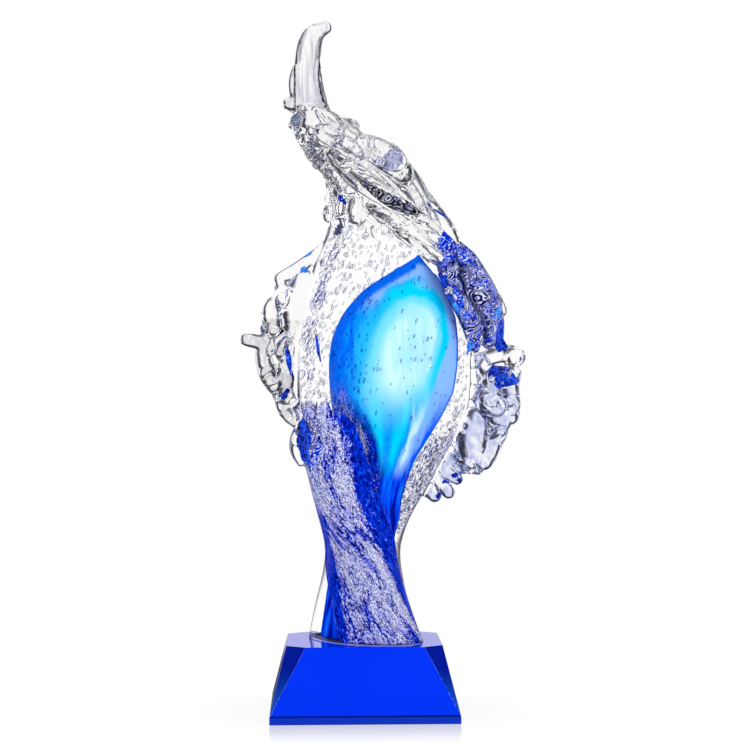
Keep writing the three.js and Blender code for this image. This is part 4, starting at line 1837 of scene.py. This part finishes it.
class BubbleTree:
    """A Geometry Nodes tree that sets stretched bubbles on a guide."""

    SIDES = 8
    RINGS = 6
    SPREAD = (0.55, 1.15)
    SECOND_SPREAD = (0.55, 1.3)
    LENGTHS = (0.7, 1.2)

    def __init__(self, name: str, material: Material) -> None:
        """Build the tree for bubbles of one material.

        Args:
            name: The tree's name.
            material: The bubbles' material.
        """
        self.tree = bpy.data.node_groups.new(name, "GeometryNodeTree")
        face = self.tree.interface
        self.sockets = {}
        for label, kind in (
            ("Guide", "Geometry"), ("Crowd", "Float"), ("Length", "Float"), ("Girth", "Float"),
            ("Sink", "Float"), ("Seed", "Int"),
        ):
            made = face.new_socket(label, in_out="INPUT", socket_type=f"NodeSocket{kind}")
            self.sockets[label] = made
        face.new_socket("Bubbles", in_out="OUTPUT", socket_type="NodeSocketGeometry")
        self.graph = Graph(self.tree)
        self.given = self.graph.node("NodeGroupInput").outputs
        self.fill(material)

    def chance(self, low: float, high: float, step: int) -> Socket:
        """Return a random number for each point, from the tree's own seed.

        Args:
            low: The least.
            high: The most.
            step: What is added to the seed.

        Returns:
            The value socket.
        """
        shifted = self.graph.plus(self.given["Seed"], step)
        inputs = {2: low, 3: high, "Seed": shifted}
        return self.graph.fed_node("FunctionNodeRandomValue", inputs, data_type="FLOAT").outputs[1]

    def points(self) -> tuple[Socket, Socket, Socket]:
        """Scatter the bubbles' points on the guide.

        Returns:
            The points, the way inwards at each, and its long axis.
        """
        named = "GeometryNodeInputNamedAttribute"
        crowd = self.graph.fed(named, {"Name": "crowd"}, data_type="FLOAT")
        axis = self.graph.fed(named, {"Name": "axis"}, data_type="FLOAT_VECTOR")
        density = self.graph.times(crowd, self.given["Crowd"])
        inputs = {"Mesh": self.given["Guide"], "Density": density, "Seed": self.given["Seed"]}
        kind = "GeometryNodeDistributePointsOnFaces"
        dots = self.graph.fed_node(kind, inputs, distribute_method="RANDOM").outputs
        return dots["Points"], dots["Normal"], axis

    def fill(self, material: Material) -> None:
        """Add the nodes that turn, scale and dress the bubbles.

        Args:
            material: The bubbles' material.
        """
        graph, given = self.graph, self.given
        points, inwards, axis = self.points()
        depth = graph.times(given["Sink"], self.chance(-1.0, 0.0, 1))
        sunk = graph.fed("ShaderNodeVectorMath", {0: inwards, "Scale": depth}, operation="SCALE")
        moved = graph.fed("GeometryNodeSetPosition", {"Geometry": points, "Offset": sunk})
        size = graph.times(self.chance(*self.SPREAD, 2), self.chance(*self.SECOND_SPREAD, 4))
        girth = graph.times(given["Girth"], size)
        length = graph.times(graph.times(given["Length"], size), self.chance(*self.LENGTHS, 3))
        scale = graph.fed("ShaderNodeCombineXYZ", {"X": girth, "Y": girth, "Z": length})
        turned = graph.fed("FunctionNodeAlignRotationToVector", {"Vector": axis}, axis="Z")
        sizes = {"Segments": self.SIDES, "Rings": self.RINGS, "Radius": 1.0}
        ball = graph.fed("GeometryNodeMeshUVSphere", sizes)
        inputs = {"Points": moved, "Instance": ball, "Rotation": turned, "Scale": scale}
        placed = graph.fed("GeometryNodeInstanceOnPoints", inputs)
        real = graph.fed("GeometryNodeRealizeInstances", {0: placed})
        smooth = graph.fed("GeometryNodeSetShadeSmooth", {0: real})
        dressed = graph.fed("GeometryNodeSetMaterial", {"Geometry": smooth, "Material": material})
        graph.fed_node("NodeGroupOutput", {0: dressed})

    def grow(self, name: str, guide: Mesh, sizes: BubbleSizes) -> Piece:
        """Set bubbles on a guide.

        Args:
            name: The new piece's name.
            guide: The mesh that they lie on, with its crowd and axis values.
            sizes: Their sizes.

        Returns:
            The piece.
        """
        made = add_object(name, guide)
        modifier = made.modifiers.new("bubbles", "NODES")
        modifier.node_group = self.tree
        for label, value in (
            ("Crowd", sizes.crowd), ("Length", sizes.length), ("Girth", sizes.girth),
            ("Sink", sizes.sink), ("Seed", sizes.seed),
        ):
            modifier[self.sockets[label].identifier] = value
        settle(made)
        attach(made, BODY)
        return made


@dataclass
class Bubbles:
    """Seeds and bubbles between the flame and the outer glass."""

    award: Award
    petal: BubbleSizes = BubbleSizes(1.20 * MM, 0.46 * MM, 1.5 * MM, 96000.0, 4)
    clear: BubbleSizes = BubbleSizes(1.30 * MM, 0.60 * MM, 5.0 * MM, 76000.0, 11)
    leaves: BubbleSizes = BubbleSizes(3.4 * MM, 1.60 * MM, 4.0 * MM, 30000.0, 7)
    guide_inset: float = -2.6 * MM
    lean: float = 0.30
    row_x: tuple[float, ...] = (-0.0350, -0.0362, -0.0340, -0.0290, -0.0207, -0.0114)
    row_z: tuple[float, ...] = (0.1960, 0.2264, 0.2400, 0.2560, 0.2740, 0.2975)

    def guide(self, where: Field) -> Mesh:
        """Return the surface that a field of bubbles lies on, with its crowd and axis values.

        Args:
            where: The field.

        Returns:
            The surface.
        """
        loft = Loft(self.award.blade, 96, 160, self.guide_inset, 0.02, 0.93)
        mesh = loft.mesh("bubble_guide")
        rows = loft.rows()
        along = np.gradient(rows, axis=0).reshape(-1, 3)
        along /= np.linalg.norm(along, axis=1)[:, None]
        points = points_of(mesh)
        axis = np.concatenate([along, along[:2]])
        rise = (points[:, 2] - self.award.foot) / MM
        axis[:, 0] += self.lean * smooth_step(90.0, 150.0, rise)
        put_value(mesh, "axis", axis)
        put_value(mesh, "crowd", self.crowd(points, rise, where))
        return mesh

    def crowd(self, points: Array, rise: Array, where: Field) -> Array:
        """Return how crowded the bubbles of a field are at points, from 0 to 1.

        Args:
            points: Rows of X, Y and Z.
            rise: Their rises over the foot in millimetres.
            where: The field.

        Returns:
            The shares.
        """
        if where is Field.LEAVES:
            gap = np.abs(points[:, 0] - np.interp(points[:, 2], self.row_z, self.row_x))
            ends = smooth_step(0.198, 0.225, points[:, 2]) * smooth_step(0.302, 0.292, points[:, 2])
            return smooth_step(8.0 * MM, 2.0 * MM, gap) * ends * (points[:, 1] < 0.01)
        flame, blade = self.award.flame, self.award.blade
        inside = (points[:, 2] < flame.z[-1]).astype(float)
        x, half = flame.seen(points[:, 2])
        over = inside * (np.abs(points[:, 0] - x) < half * 0.95)
        upper = smooth_step(95.0, 125.0, rise)
        if where is Field.FLAME:
            left = smooth_step(0.1, 0.8, (x - points[:, 0]) / half)
            return over * upper * (0.14 + 0.86 * left)
        x, half = blade.seen(points[:, 2])
        side = (points[:, 0] - x) / half
        left = smooth_step(0.35, 0.75, -side)
        fan = smooth_step(0.3, 0.8, side) * smooth_step(60.0, 80.0, rise)
        fan *= 1.0 - smooth_step(130.0, 160.0, rise)
        return (1.0 - over) * (upper * (0.62 + 0.38 * left) + 0.8 * fan)

    def build(self) -> list[Piece]:
        """Make all fields of bubbles.

        Returns:
            The new pieces.
        """
        # Each rim colour is a painted dark reflection round the bubble.
        over = BubbleSkin("bubble_in_blue", rgb(2, 40, 150), painted_rim_edge=(0.02, 0.26))
        beside = BubbleSkin("bubble_in_clear", rgb(84, 84, 128))
        row = BubbleSkin("bubble_in_row", rgb(70, 76, 180), painted_rim_edge=(0.34, 0.66))
        made = []
        for name, tree, skin, where, sizes in (
            ("petal_bubbles", "bubbles_over_flame", over, Field.FLAME, self.petal),
            ("clear_bubbles", "bubbles_in_clear", beside, Field.CLEAR, self.clear),
            ("leaf_bubbles", "bubbles_in_a_row", row, Field.LEAVES, self.leaves),
        ):
            made.append(BubbleTree(tree, skin.build()).grow(name, self.guide(where), sizes))
        return made


@dataclass
class Veils:
    """The coloured and seeded sheet that lies under the blade's clear skin."""

    award: Award
    inset: float = -1.6 * MM
    foot_gain: float = 1.2 * MM
    foot_reach: float = 18.0 * MM
    foot: float = 0.001
    top: float = 0.80
    fan_angles: Span = (118.0, 150.0)
    fan_foot: Span = (52.0, 70.0)
    fan_top: Span = (118.0, 150.0)

    def build(self) -> list[Piece]:
        """Make the sheet.

        Returns:
            The new piece.
        """
        ovals = self.award.blade
        mesh = Loft(ovals, 144, 240, self.inset, self.foot, self.top).mesh("seed_veil")
        points = points_of(mesh)
        near = smooth_step(self.foot_reach, 0.0, points[:, 2] - self.award.foot) * self.foot_gain
        near[-2:] = 0.0
        x, y = ovals.at(points[:, 2])[:2]
        out = np.stack([points[:, 0] - x, points[:, 1] - y], axis=1)
        reach = np.maximum(np.linalg.norm(out, axis=1), MM)
        points[:, :2] += out * (near / reach)[:, None]
        put_points(mesh, points)
        angle = self.award.mark(mesh, ovals, points)
        rise = (points[:, 2] - self.award.foot) / MM
        fan = smooth_step(*self.fan_angles, np.abs(angle)) * smooth_step(*self.fan_foot, rise)
        fan *= 1.0 - smooth_step(*self.fan_top, rise)
        put_value(mesh, "fan", fan)
        put_value(mesh, "crest", self.award.crest(points))
        mesh.materials.append(SeedVeil().build())
        veil = add_object("seed_veil", mesh)
        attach(veil, BODY)
        return [veil]


@dataclass(frozen=True)
class Spot:
    """A small body of colour caught in the glass, as seen from the front."""

    x: float
    z: float
    half_width: float
    half_height: float
    lean: float = 0.0
    depth: float = 3.0 * MM


@dataclass
class Inclusions:
    """Cobalt folds in the right crest, and small bodies of colour on both sides."""

    award: Award
    shrink: float = 1.7 * MM
    stir: float = 1.2 * MM
    stir_scale: float = 120.0
    thickest: float = 0.0024
    ragged: float = 0.55
    cover: float = 0.4 * MM
    folds: tuple[str, ...] = ("right_shoulder", "right_inner_fold")
    cobalt_spots: tuple[Spot, ...] = (
        Spot(-0.0139, 0.3155, 0.0014, 0.0042, 40.0),
        Spot(-0.0461, 0.2160, 0.0014, 0.0090, 8.0),
        Spot(-0.0350, 0.1655, 0.0060, 0.0120, 8.0, 2.6 * MM),
        Spot(-0.0480, 0.1954, 0.0018, 0.0032, -20.0),
        Spot(-0.0282, 0.2245, 0.0009, 0.0080, 10.0),
        Spot(0.0862, 0.2082, 0.0062, 0.0078, 20.0, 3.0 * MM),
        Spot(0.0522, 0.2600, 0.0034, 0.0100, 30.0, 3.2 * MM),
        Spot(0.0843, 0.2330, 0.0044, 0.0105, 10.0, 2.8 * MM),
        Spot(0.0529, 0.1410, 0.0024, 0.0018, 30.0),
        Spot(0.0579, 0.1447, 0.0018, 0.0014, 0.0),
        Spot(0.0610, 0.1416, 0.0020, 0.0013, -20.0),
        Spot(0.0480, 0.1323, 0.0026, 0.0014, 20.0),
        Spot(0.0458, 0.3075, 0.0085, 0.0007, -33.0),
    )
    ink_spots: tuple[Spot, ...] = (
        Spot(0.0130, 0.3145, 0.0150, 0.0028, -30.0, 3.5 * MM),
        Spot(0.0305, 0.3082, 0.0070, 0.0030, -35.0, 3.5 * MM),
    )
    lilac_spots: tuple[Spot, ...] = (
        Spot(0.0175, 0.3390, 0.0052, 0.0064, -20.0, 4.0 * MM),
    )
    azure_spots: tuple[Spot, ...] = (
        Spot(0.0832, 0.2468, 0.0024, 0.0040, -15.0),
        Spot(0.0560, 0.2500, 0.0016, 0.0052, 10.0),
        Spot(0.0660, 0.2262, 0.0020, 0.0050, -20.0),
        Spot(-0.0374, 0.2725, 0.0020, 0.0024, 0.0),
        Spot(-0.0342, 0.2818, 0.0034, 0.0010, 32.0),
        Spot(0.0712, 0.2120, 0.0008, 0.0026, 0.0),
    )
    beads: tuple[Spot, ...] = (
        Spot(0.0514, 0.2592, 0.0026, 0.0026, 0.0, 1.6 * MM),
        Spot(0.0801, 0.2053, 0.0019, 0.0019, 0.0, 1.6 * MM),
        Spot(0.0085, 0.3372, 0.0026, 0.0028, 0.0, 2.4 * MM),
    )

    def fold(self, node: str) -> Mesh:
        """Return a stirred core that lies inside a CAD piece.

        Args:
            node: The piece.

        Returns:
            The core.
        """
        core = add_object("core", node_mesh(node))
        rounded = core.modifiers.new("round", "SUBSURF")
        rounded.levels = rounded.render_levels = 2
        settle(core)
        mesh = core.data
        points, normals = points_of(mesh), normals_of(mesh)
        lifts = np.array([noise.noise(Vector(point) * self.stir_scale) for point in points])
        put_points(mesh, points + normals * (lifts * self.stir - self.shrink)[:, None])
        bpy.data.objects.remove(core)
        return mesh

    def blob(self, spot: Spot) -> Mesh | None:
        """Return one spot's stirred, leaning lens, or None where there is no glass.

        Args:
            spot: The spot.

        Returns:
            The lens, or None.
        """
        centre = self.award.front(spot.x, spot.z, spot.depth)
        if centre is None:
            LOG.warning("no glass for a spot at %.4f, %.4f", spot.x, spot.z)
            return None
        work = bmesh.new()
        bmesh.ops.create_icosphere(work, subdivisions=4, radius=1.0)
        thin = min(spot.half_width, spot.half_height, self.thickest)
        grow = Matrix.Diagonal((spot.half_width, thin, spot.half_height, 1.0))
        lean = Matrix.Rotation(math.radians(-spot.lean), 4, "Y")
        for vert in work.verts:
            ragged = 1.0 + self.ragged * noise.noise(vert.co * 1.5 + centre * 400.0)
            vert.co = centre + lean @ (grow @ (vert.co * ragged))
        mesh = bpy.data.meshes.new("spot")
        work.to_mesh(mesh)
        work.free()
        return mesh

    def tuck(self, mesh: Mesh) -> None:
        """Draw the points of a mesh that stand out of the glass back under its skin.

        Args:
            mesh: The mesh.
        """
        points = points_of(mesh)
        for index, point in enumerate(points):
            hit, normal, _, _ = self.award.skin.find_nearest(Vector(point))
            if (hit - Vector(point)).dot(normal) < self.cover:
                points[index] = hit - normal * self.cover
        put_points(mesh, points)

    def gather(
        self, name: str, meshes: list[Mesh], finish: Material, tucked: bool = True
    ) -> Piece:
        """Join meshes into one dressed piece.

        Args:
            name: The piece's name.
            meshes: What it is made of.
            finish: Its material.
            tucked: True where it lies wholly in the glass, False where it sits on it.

        Returns:
            The piece.
        """
        work = bmesh.new()
        for mesh in meshes:
            work.from_mesh(mesh)
        joined = bpy.data.meshes.new(name)
        work.to_mesh(joined)
        work.free()
        if tucked:
            self.tuck(joined)
        shade_smooth(joined)
        joined.materials.append(finish)
        made = add_object(name, joined)
        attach(made, BODY)
        return made

    def build(self) -> list[Piece]:
        """Make every inclusion.

        Returns:
            The new pieces.
        """
        crest = self.gather("crest_cobalt", [self.fold(node) for node in self.folds], SwirlGlass().build())
        plain = SwirlGlass(
            "spot_cobalt", rgb(2, 16, 108), rgb(0, 44, 188), rgb(14, 98, 232), scale=150.0, patched=0.0
        )
        sky = SwirlGlass(
            "spot_azure", rgb(2, 66, 206), rgb(24, 130, 238), rgb(110, 204, 255), scale=420.0, patched=0.0
        )
        ink = SwirlGlass("spot_ink", rgb(8, 9, 14), rgb(30, 34, 44), rgb(70, 76, 92), rgb(206, 206, 218))
        lilac = SwirlGlass(
            "spot_lilac", rgb(112, 116, 160), rgb(160, 163, 192), rgb(200, 201, 218), scale=190.0, patched=0.0
        )
        # The bead's rim colour is a painted dark reflection.
        bead = BubbleSkin("bead", rgb(24, 30, 100), rgb(196, 200, 218), (0.22, 0.40))
        made = [crest]
        for name, spots, finish, slot in (
            ("cobalt_spots", self.cobalt_spots, plain, "cobalt_crest_glass"),
            ("azure_spots", self.azure_spots, sky, "cobalt_crest_glass"),
            ("ink_spots", self.ink_spots, ink, "clear_glass"),
            ("lilac_spots", self.lilac_spots, lilac, "clear_glass"),
            ("beads", self.beads, bead, "clear_glass"),
        ):
            blobs = [self.blob(spot) for spot in spots]
            found = [blob for blob in blobs if blob is not None]
            piece = self.gather(name, found, finish.build(), finish is not bead)
            made.append(piece)
        return made


class Facet(IntEnum):
    """Kinds of the base's faces, each with its own painted shade of the same crystal."""

    BODY = 0
    CORNER = 1
    FOOT = 2


@dataclass
class CrystalBase:
    """The bevelled cobalt base and the adhesive on it."""

    top_width: float = 94.5 * MM
    top_depth: float = 62.8 * MM
    cut_x: float = 11.5 * MM
    cut_y: float = 7.0 * MM
    band: float = 4.3 * MM
    arris: float = 0.08 * MM
    corner_turn: float = 0.25
    foot_tilt: float = 0.02

    def build(self) -> list[Piece]:
        """Make the base with polished edges and dress the film.

        Returns:
            The new pieces.
        """
        low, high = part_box("base_block")
        width, depth, height = (high[axis] - low[axis] for axis in range(3))
        corners = []
        for sx in (-1, 1):
            for sy in (-1, 1):
                corners += [
                    (sx * width / 2, sy * depth / 2, 0.0),
                    (sx * width / 2, sy * depth / 2, self.band),
                    (sx * (self.top_width / 2 - self.cut_x), sy * self.top_depth / 2, height),
                    (sx * self.top_width / 2, sy * (self.top_depth / 2 - self.cut_y), height),
                ]
        work = bmesh.new()
        for corner in corners:
            work.verts.new(corner)
        bmesh.ops.convex_hull(work, input=work.verts)
        bmesh.ops.dissolve_limit(work, angle_limit=0.01, verts=work.verts, edges=work.edges)
        bmesh.ops.bevel(
            work, geom=work.edges[:], offset=self.arris, segments=2, profile=0.5, affect="EDGES",
        )
        mesh = bpy.data.meshes.new("crystal_base")
        work.to_mesh(mesh)
        work.free()
        base = add_object("crystal_base", mesh)
        # The corner and foot faces get darker copies of the one crystal, which is painted shade. The corner
        # copy is painted lighter towards its foot, and the body gets a painted dark line just above the foot
        # band.
        finishes = {
            Facet.BODY: CobaltCrystal(
                "cobalt_crystal", rgb(0, 56, 255), edge=rgb(0, 20, 120), painted_shade_heights=(0.0048, 0.0058)
            ),
            Facet.CORNER: CobaltCrystal(
                "cobalt_crystal_corner_shaded", rgb(0, 26, 150), edge=rgb(22, 84, 200), painted_shade_heights=(0.004, 0.034)
            ),
            Facet.FOOT: CobaltCrystal("cobalt_crystal_foot_shaded", rgb(4, 56, 200)),
        }
        for facet in Facet:
            mesh.materials.append(finishes[facet].build())
        for face in mesh.polygons:
            across, away, up = (abs(part) for part in face.normal)
            if across > self.corner_turn and away > self.corner_turn:
                face.material_index = Facet.CORNER
            elif up < self.foot_tilt:
                face.material_index = Facet.FOOT
        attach(base, BODY)
        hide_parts("base_block")
        hazy = Pattern(300.0)
        film = CloudyGlass("bond_adhesive", rgb(146, 152, 232), rgb(186, 190, 242), hazy, 0.12)
        dress_node("bond_film", film)
        return [base]


@dataclass
class Studio:
    """Camera, lamps, backdrop and floor."""

    eye: tuple[float, float, float] = (-0.030, -1.042, 0.2078)
    aim: tuple[float, float, float] = (0.0, 0.0, 0.2)
    focal_pixels: float = 1684.0
    frame_pixels: float = 750.0
    middle_x: float = 375.0
    axis_x: float = 363.5
    sensor: float = 36.0
    screens: int = 8
    pool_half_width: float = 0.072
    pool_half_depth: float = 0.050
    sheen_end: float = 0.098
    sheen: float = 0.36
    shadow: float = 0.10
    floor_reach: float = 3.0
    floor_drop: float = 0.05 * MM
    flag_edge: Span = (0.66, 1.0)
    ceiling_foot: Span = (0.28, 0.42)
    ceiling_top: Span = (0.76, 0.62)
    back_screen: Span = (-0.1, 0.35)
    back_screen_top: Span = (0.5, 0.25)
    flag_half: Colour = (0.60, 0.60, 0.625)
    flag_dark: Colour = (0.045, 0.045, 0.055)
    room_dark: Colour = (0.03, 0.03, 0.04)
    room_soft: Colour = (0.68, 0.68, 0.70)
    floor_pale: Colour = (0.97, 0.97, 0.98)
    floor_dark: Colour = (0.10, 0.10, 0.15)
    floor_mirror: Colour = (0.9, 0.92, 0.95)

    def camera(self) -> None:
        """Place the camera where the photograph was taken from."""
        data = bpy.data.cameras.new("camera")
        data.sensor_width = self.sensor
        data.lens = self.sensor * self.focal_pixels / self.frame_pixels
        aim = math.atan2(self.middle_x - self.axis_x, self.focal_pixels)
        towards = math.atan2(-self.eye[0], -self.eye[1])
        made = add_object("camera", data)
        made.location = self.eye
        made.rotation_euler = (math.radians(90), 0.0, -(towards + aim))
        bpy.context.scene.camera = made

    def lamp(self, name: str, place: tuple[float, float, float], size: Span, watts: float) -> None:
        """Add a soft box that faces the award.

        Args:
            name: The lamp's name.
            place: Where it hangs.
            size: Its width and height.
            watts: Its power.
        """
        data = bpy.data.lights.new(name, "AREA")
        data.shape = "RECTANGLE"
        data.size, data.size_y = size
        data.energy = watts
        made = add_object(name, data)
        made.location = place
        towards = Vector(self.aim) - Vector(place)
        made.rotation_euler = towards.to_track_quat("-Z", "Y").to_euler()

    def reflected(self, graph: Graph, path: Node) -> Socket:
        """Return 1 for rays mirrored by glass, 0 for those that passed through it."""
        passed = graph.minus(1.0, path.outputs["Is Transmission Ray"])
        return graph.times(path.outputs["Is Glossy Ray"], passed)

    def flags(self, graph: Graph, across: Socket, away: Socket) -> Socket:
        """Return 1 at the dark flags that stand between the white screens, 0 elsewhere.

        Args:
            graph: The graph of the world or the floor.
            across: The X of a direction or a place.
            away: Its Y.

        Returns:
            The value socket.
        """
        bearing = graph.math("ARCTAN2", away, across)
        wave = graph.math("SINE", graph.times(bearing, self.screens / 2))
        return graph.ranged(graph.math("ABSOLUTE", wave), *self.flag_edge)

    def surroundings(self) -> None:
        """Make a ring of white screens with dark flags between them."""
        world = bpy.data.worlds.new("studio")
        world.use_nodes = True
        bpy.context.scene.world = world
        graph = Graph(world.node_tree)
        path = graph.node("ShaderNodeLightPath")
        across, away, up = graph.split(graph.node("ShaderNodeTexCoord").outputs["Generated"])
        side = self.flags(graph, across, away)
        over = graph.times(graph.ranged(up, *self.ceiling_foot), graph.ranged(up, *self.ceiling_top))
        shade = graph.math("MAXIMUM", side, over)
        through = graph.ramp(shade, [(0.0, WHITE), (0.5, self.flag_half), (1.0, self.flag_dark)])
        low = graph.ranged(up, *self.back_screen_top)
        screen = graph.times(graph.ranged(away, *self.back_screen), low)
        mirrored = graph.mix(screen, self.room_dark, WHITE)
        seen = graph.mix(self.reflected(graph, path), through, mirrored)
        plain = graph.mix(path.outputs["Is Diffuse Ray"], seen, self.room_soft)
        colour = graph.mix(path.outputs["Is Camera Ray"], plain, WHITE)
        back = graph.fed("ShaderNodeBackground", {"Color": colour, "Strength": 1.0})
        out = graph.node("ShaderNodeOutputWorld")
        graph.feed(out.inputs["Surface"], back)

    def floor_parts(self, graph: Graph, across: Socket, away: Socket) -> tuple[Socket, Socket]:
        """Measure how a place on the floor lies to the award's foot.

        Args:
            graph: The floor's graph.
            across: The X of the place.
            away: Its Y.

        Returns:
            How far out it is, 1 at the rim of the shadow, and 1 where the base is mirrored.
        """
        side = graph.math("DIVIDE", across, self.pool_half_width)
        front = graph.math("DIVIDE", away, self.pool_half_depth)
        half_width, half_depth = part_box("base_block")[1][:2]
        beside = graph.ranged(graph.math("ABSOLUTE", across), half_width + MM, half_width - MM)
        ahead = graph.times(graph.ranged(away, -self.sheen_end, -half_depth), graph.ranged(away, 0.0, -MM))
        return graph.length(side, front), graph.times(ahead, beside)

    def floor(self) -> None:
        """Lay a white floor that shows the award faintly, close to its foot."""
        mesh = bpy.data.meshes.new("floor")
        reach = self.floor_reach
        mesh.from_pydata(
            [(-reach, -reach, 0.0), (reach, -reach, 0.0), (reach, reach, 0.0), (-reach, reach, 0.0)],
            [], [(0, 1, 2, 3)],
        )
        floor = add_object("floor", mesh)
        floor.location.z = -self.floor_drop
        material, graph = new_material("floor_white")
        path = graph.node("ShaderNodeLightPath")
        across, away, _ = graph.split(graph.place())
        far, patch = self.floor_parts(graph, across, away)
        dull = graph.fed("ShaderNodeBsdfDiffuse", {"Color": self.floor_pale})
        white = graph.fed("ShaderNodeEmission", {"Color": WHITE})
        shine = graph.fed("ShaderNodeBsdfGlossy", {"Color": self.floor_mirror, "Roughness": 0.03})
        near = graph.times(graph.ranged(far, 1.7, 0.8), self.shadow)
        shown = graph.blend_shader(near, white, dull)
        shown = graph.blend_shader(graph.times(patch, self.sheen), shown, shine)
        flag = graph.times(self.flags(graph, across, away), graph.ranged(far, 2.0, 5.0))
        dark = graph.math("MAXIMUM", graph.ranged(away, -0.02, -0.08), graph.ranged(far, 8.0, 4.0))
        dim = graph.math("MAXIMUM", flag, graph.times(dark, self.reflected(graph, path)))
        glow = graph.fed("ShaderNodeEmission", {"Color": graph.mix(dim, WHITE, self.floor_dark)})
        through = graph.math("MAXIMUM", path.outputs["Is Glossy Ray"], path.outputs["Is Transmission Ray"])
        lit = graph.blend_shader(through, dull, glow)
        graph.surface(graph.blend_shader(path.outputs["Is Camera Ray"], lit, shown))
        mesh.materials.append(material)
        floor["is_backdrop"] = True

    def build(self) -> None:
        """Set up the whole studio."""
        self.camera()
        self.surroundings()
        self.floor()
        self.lamp("softbox_left", (-0.95, -0.85, 0.55), (0.25, 0.8), 6.0)
        self.lamp("softbox_right", (1.0, -0.75, 0.45), (0.25, 0.8), 6.0)
        scene = bpy.context.scene
        scene.view_settings.view_transform = "Standard"
        scene.cycles.max_bounces = 24
        scene.cycles.transmission_bounces = 20
        scene.cycles.transparent_max_bounces = 32


def main() -> None:
    """Build the award and its studio."""
    logging.basicConfig(level=logging.INFO, format="%(name)s: %(message)s")
    cad_box = [list(corner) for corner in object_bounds()]
    Studio().build()
    award = Award(cad_box)
    order = (CrystalBase(), Flame(award), HotGlass(award), Veils(award), Bubbles(award), Inclusions(award))
    for assembly in order:
        for piece in assembly.build():
            LOG.info("%s: %d faces", piece.name, len(piece.data.polygons))


if __name__ == "__main__":
    main()
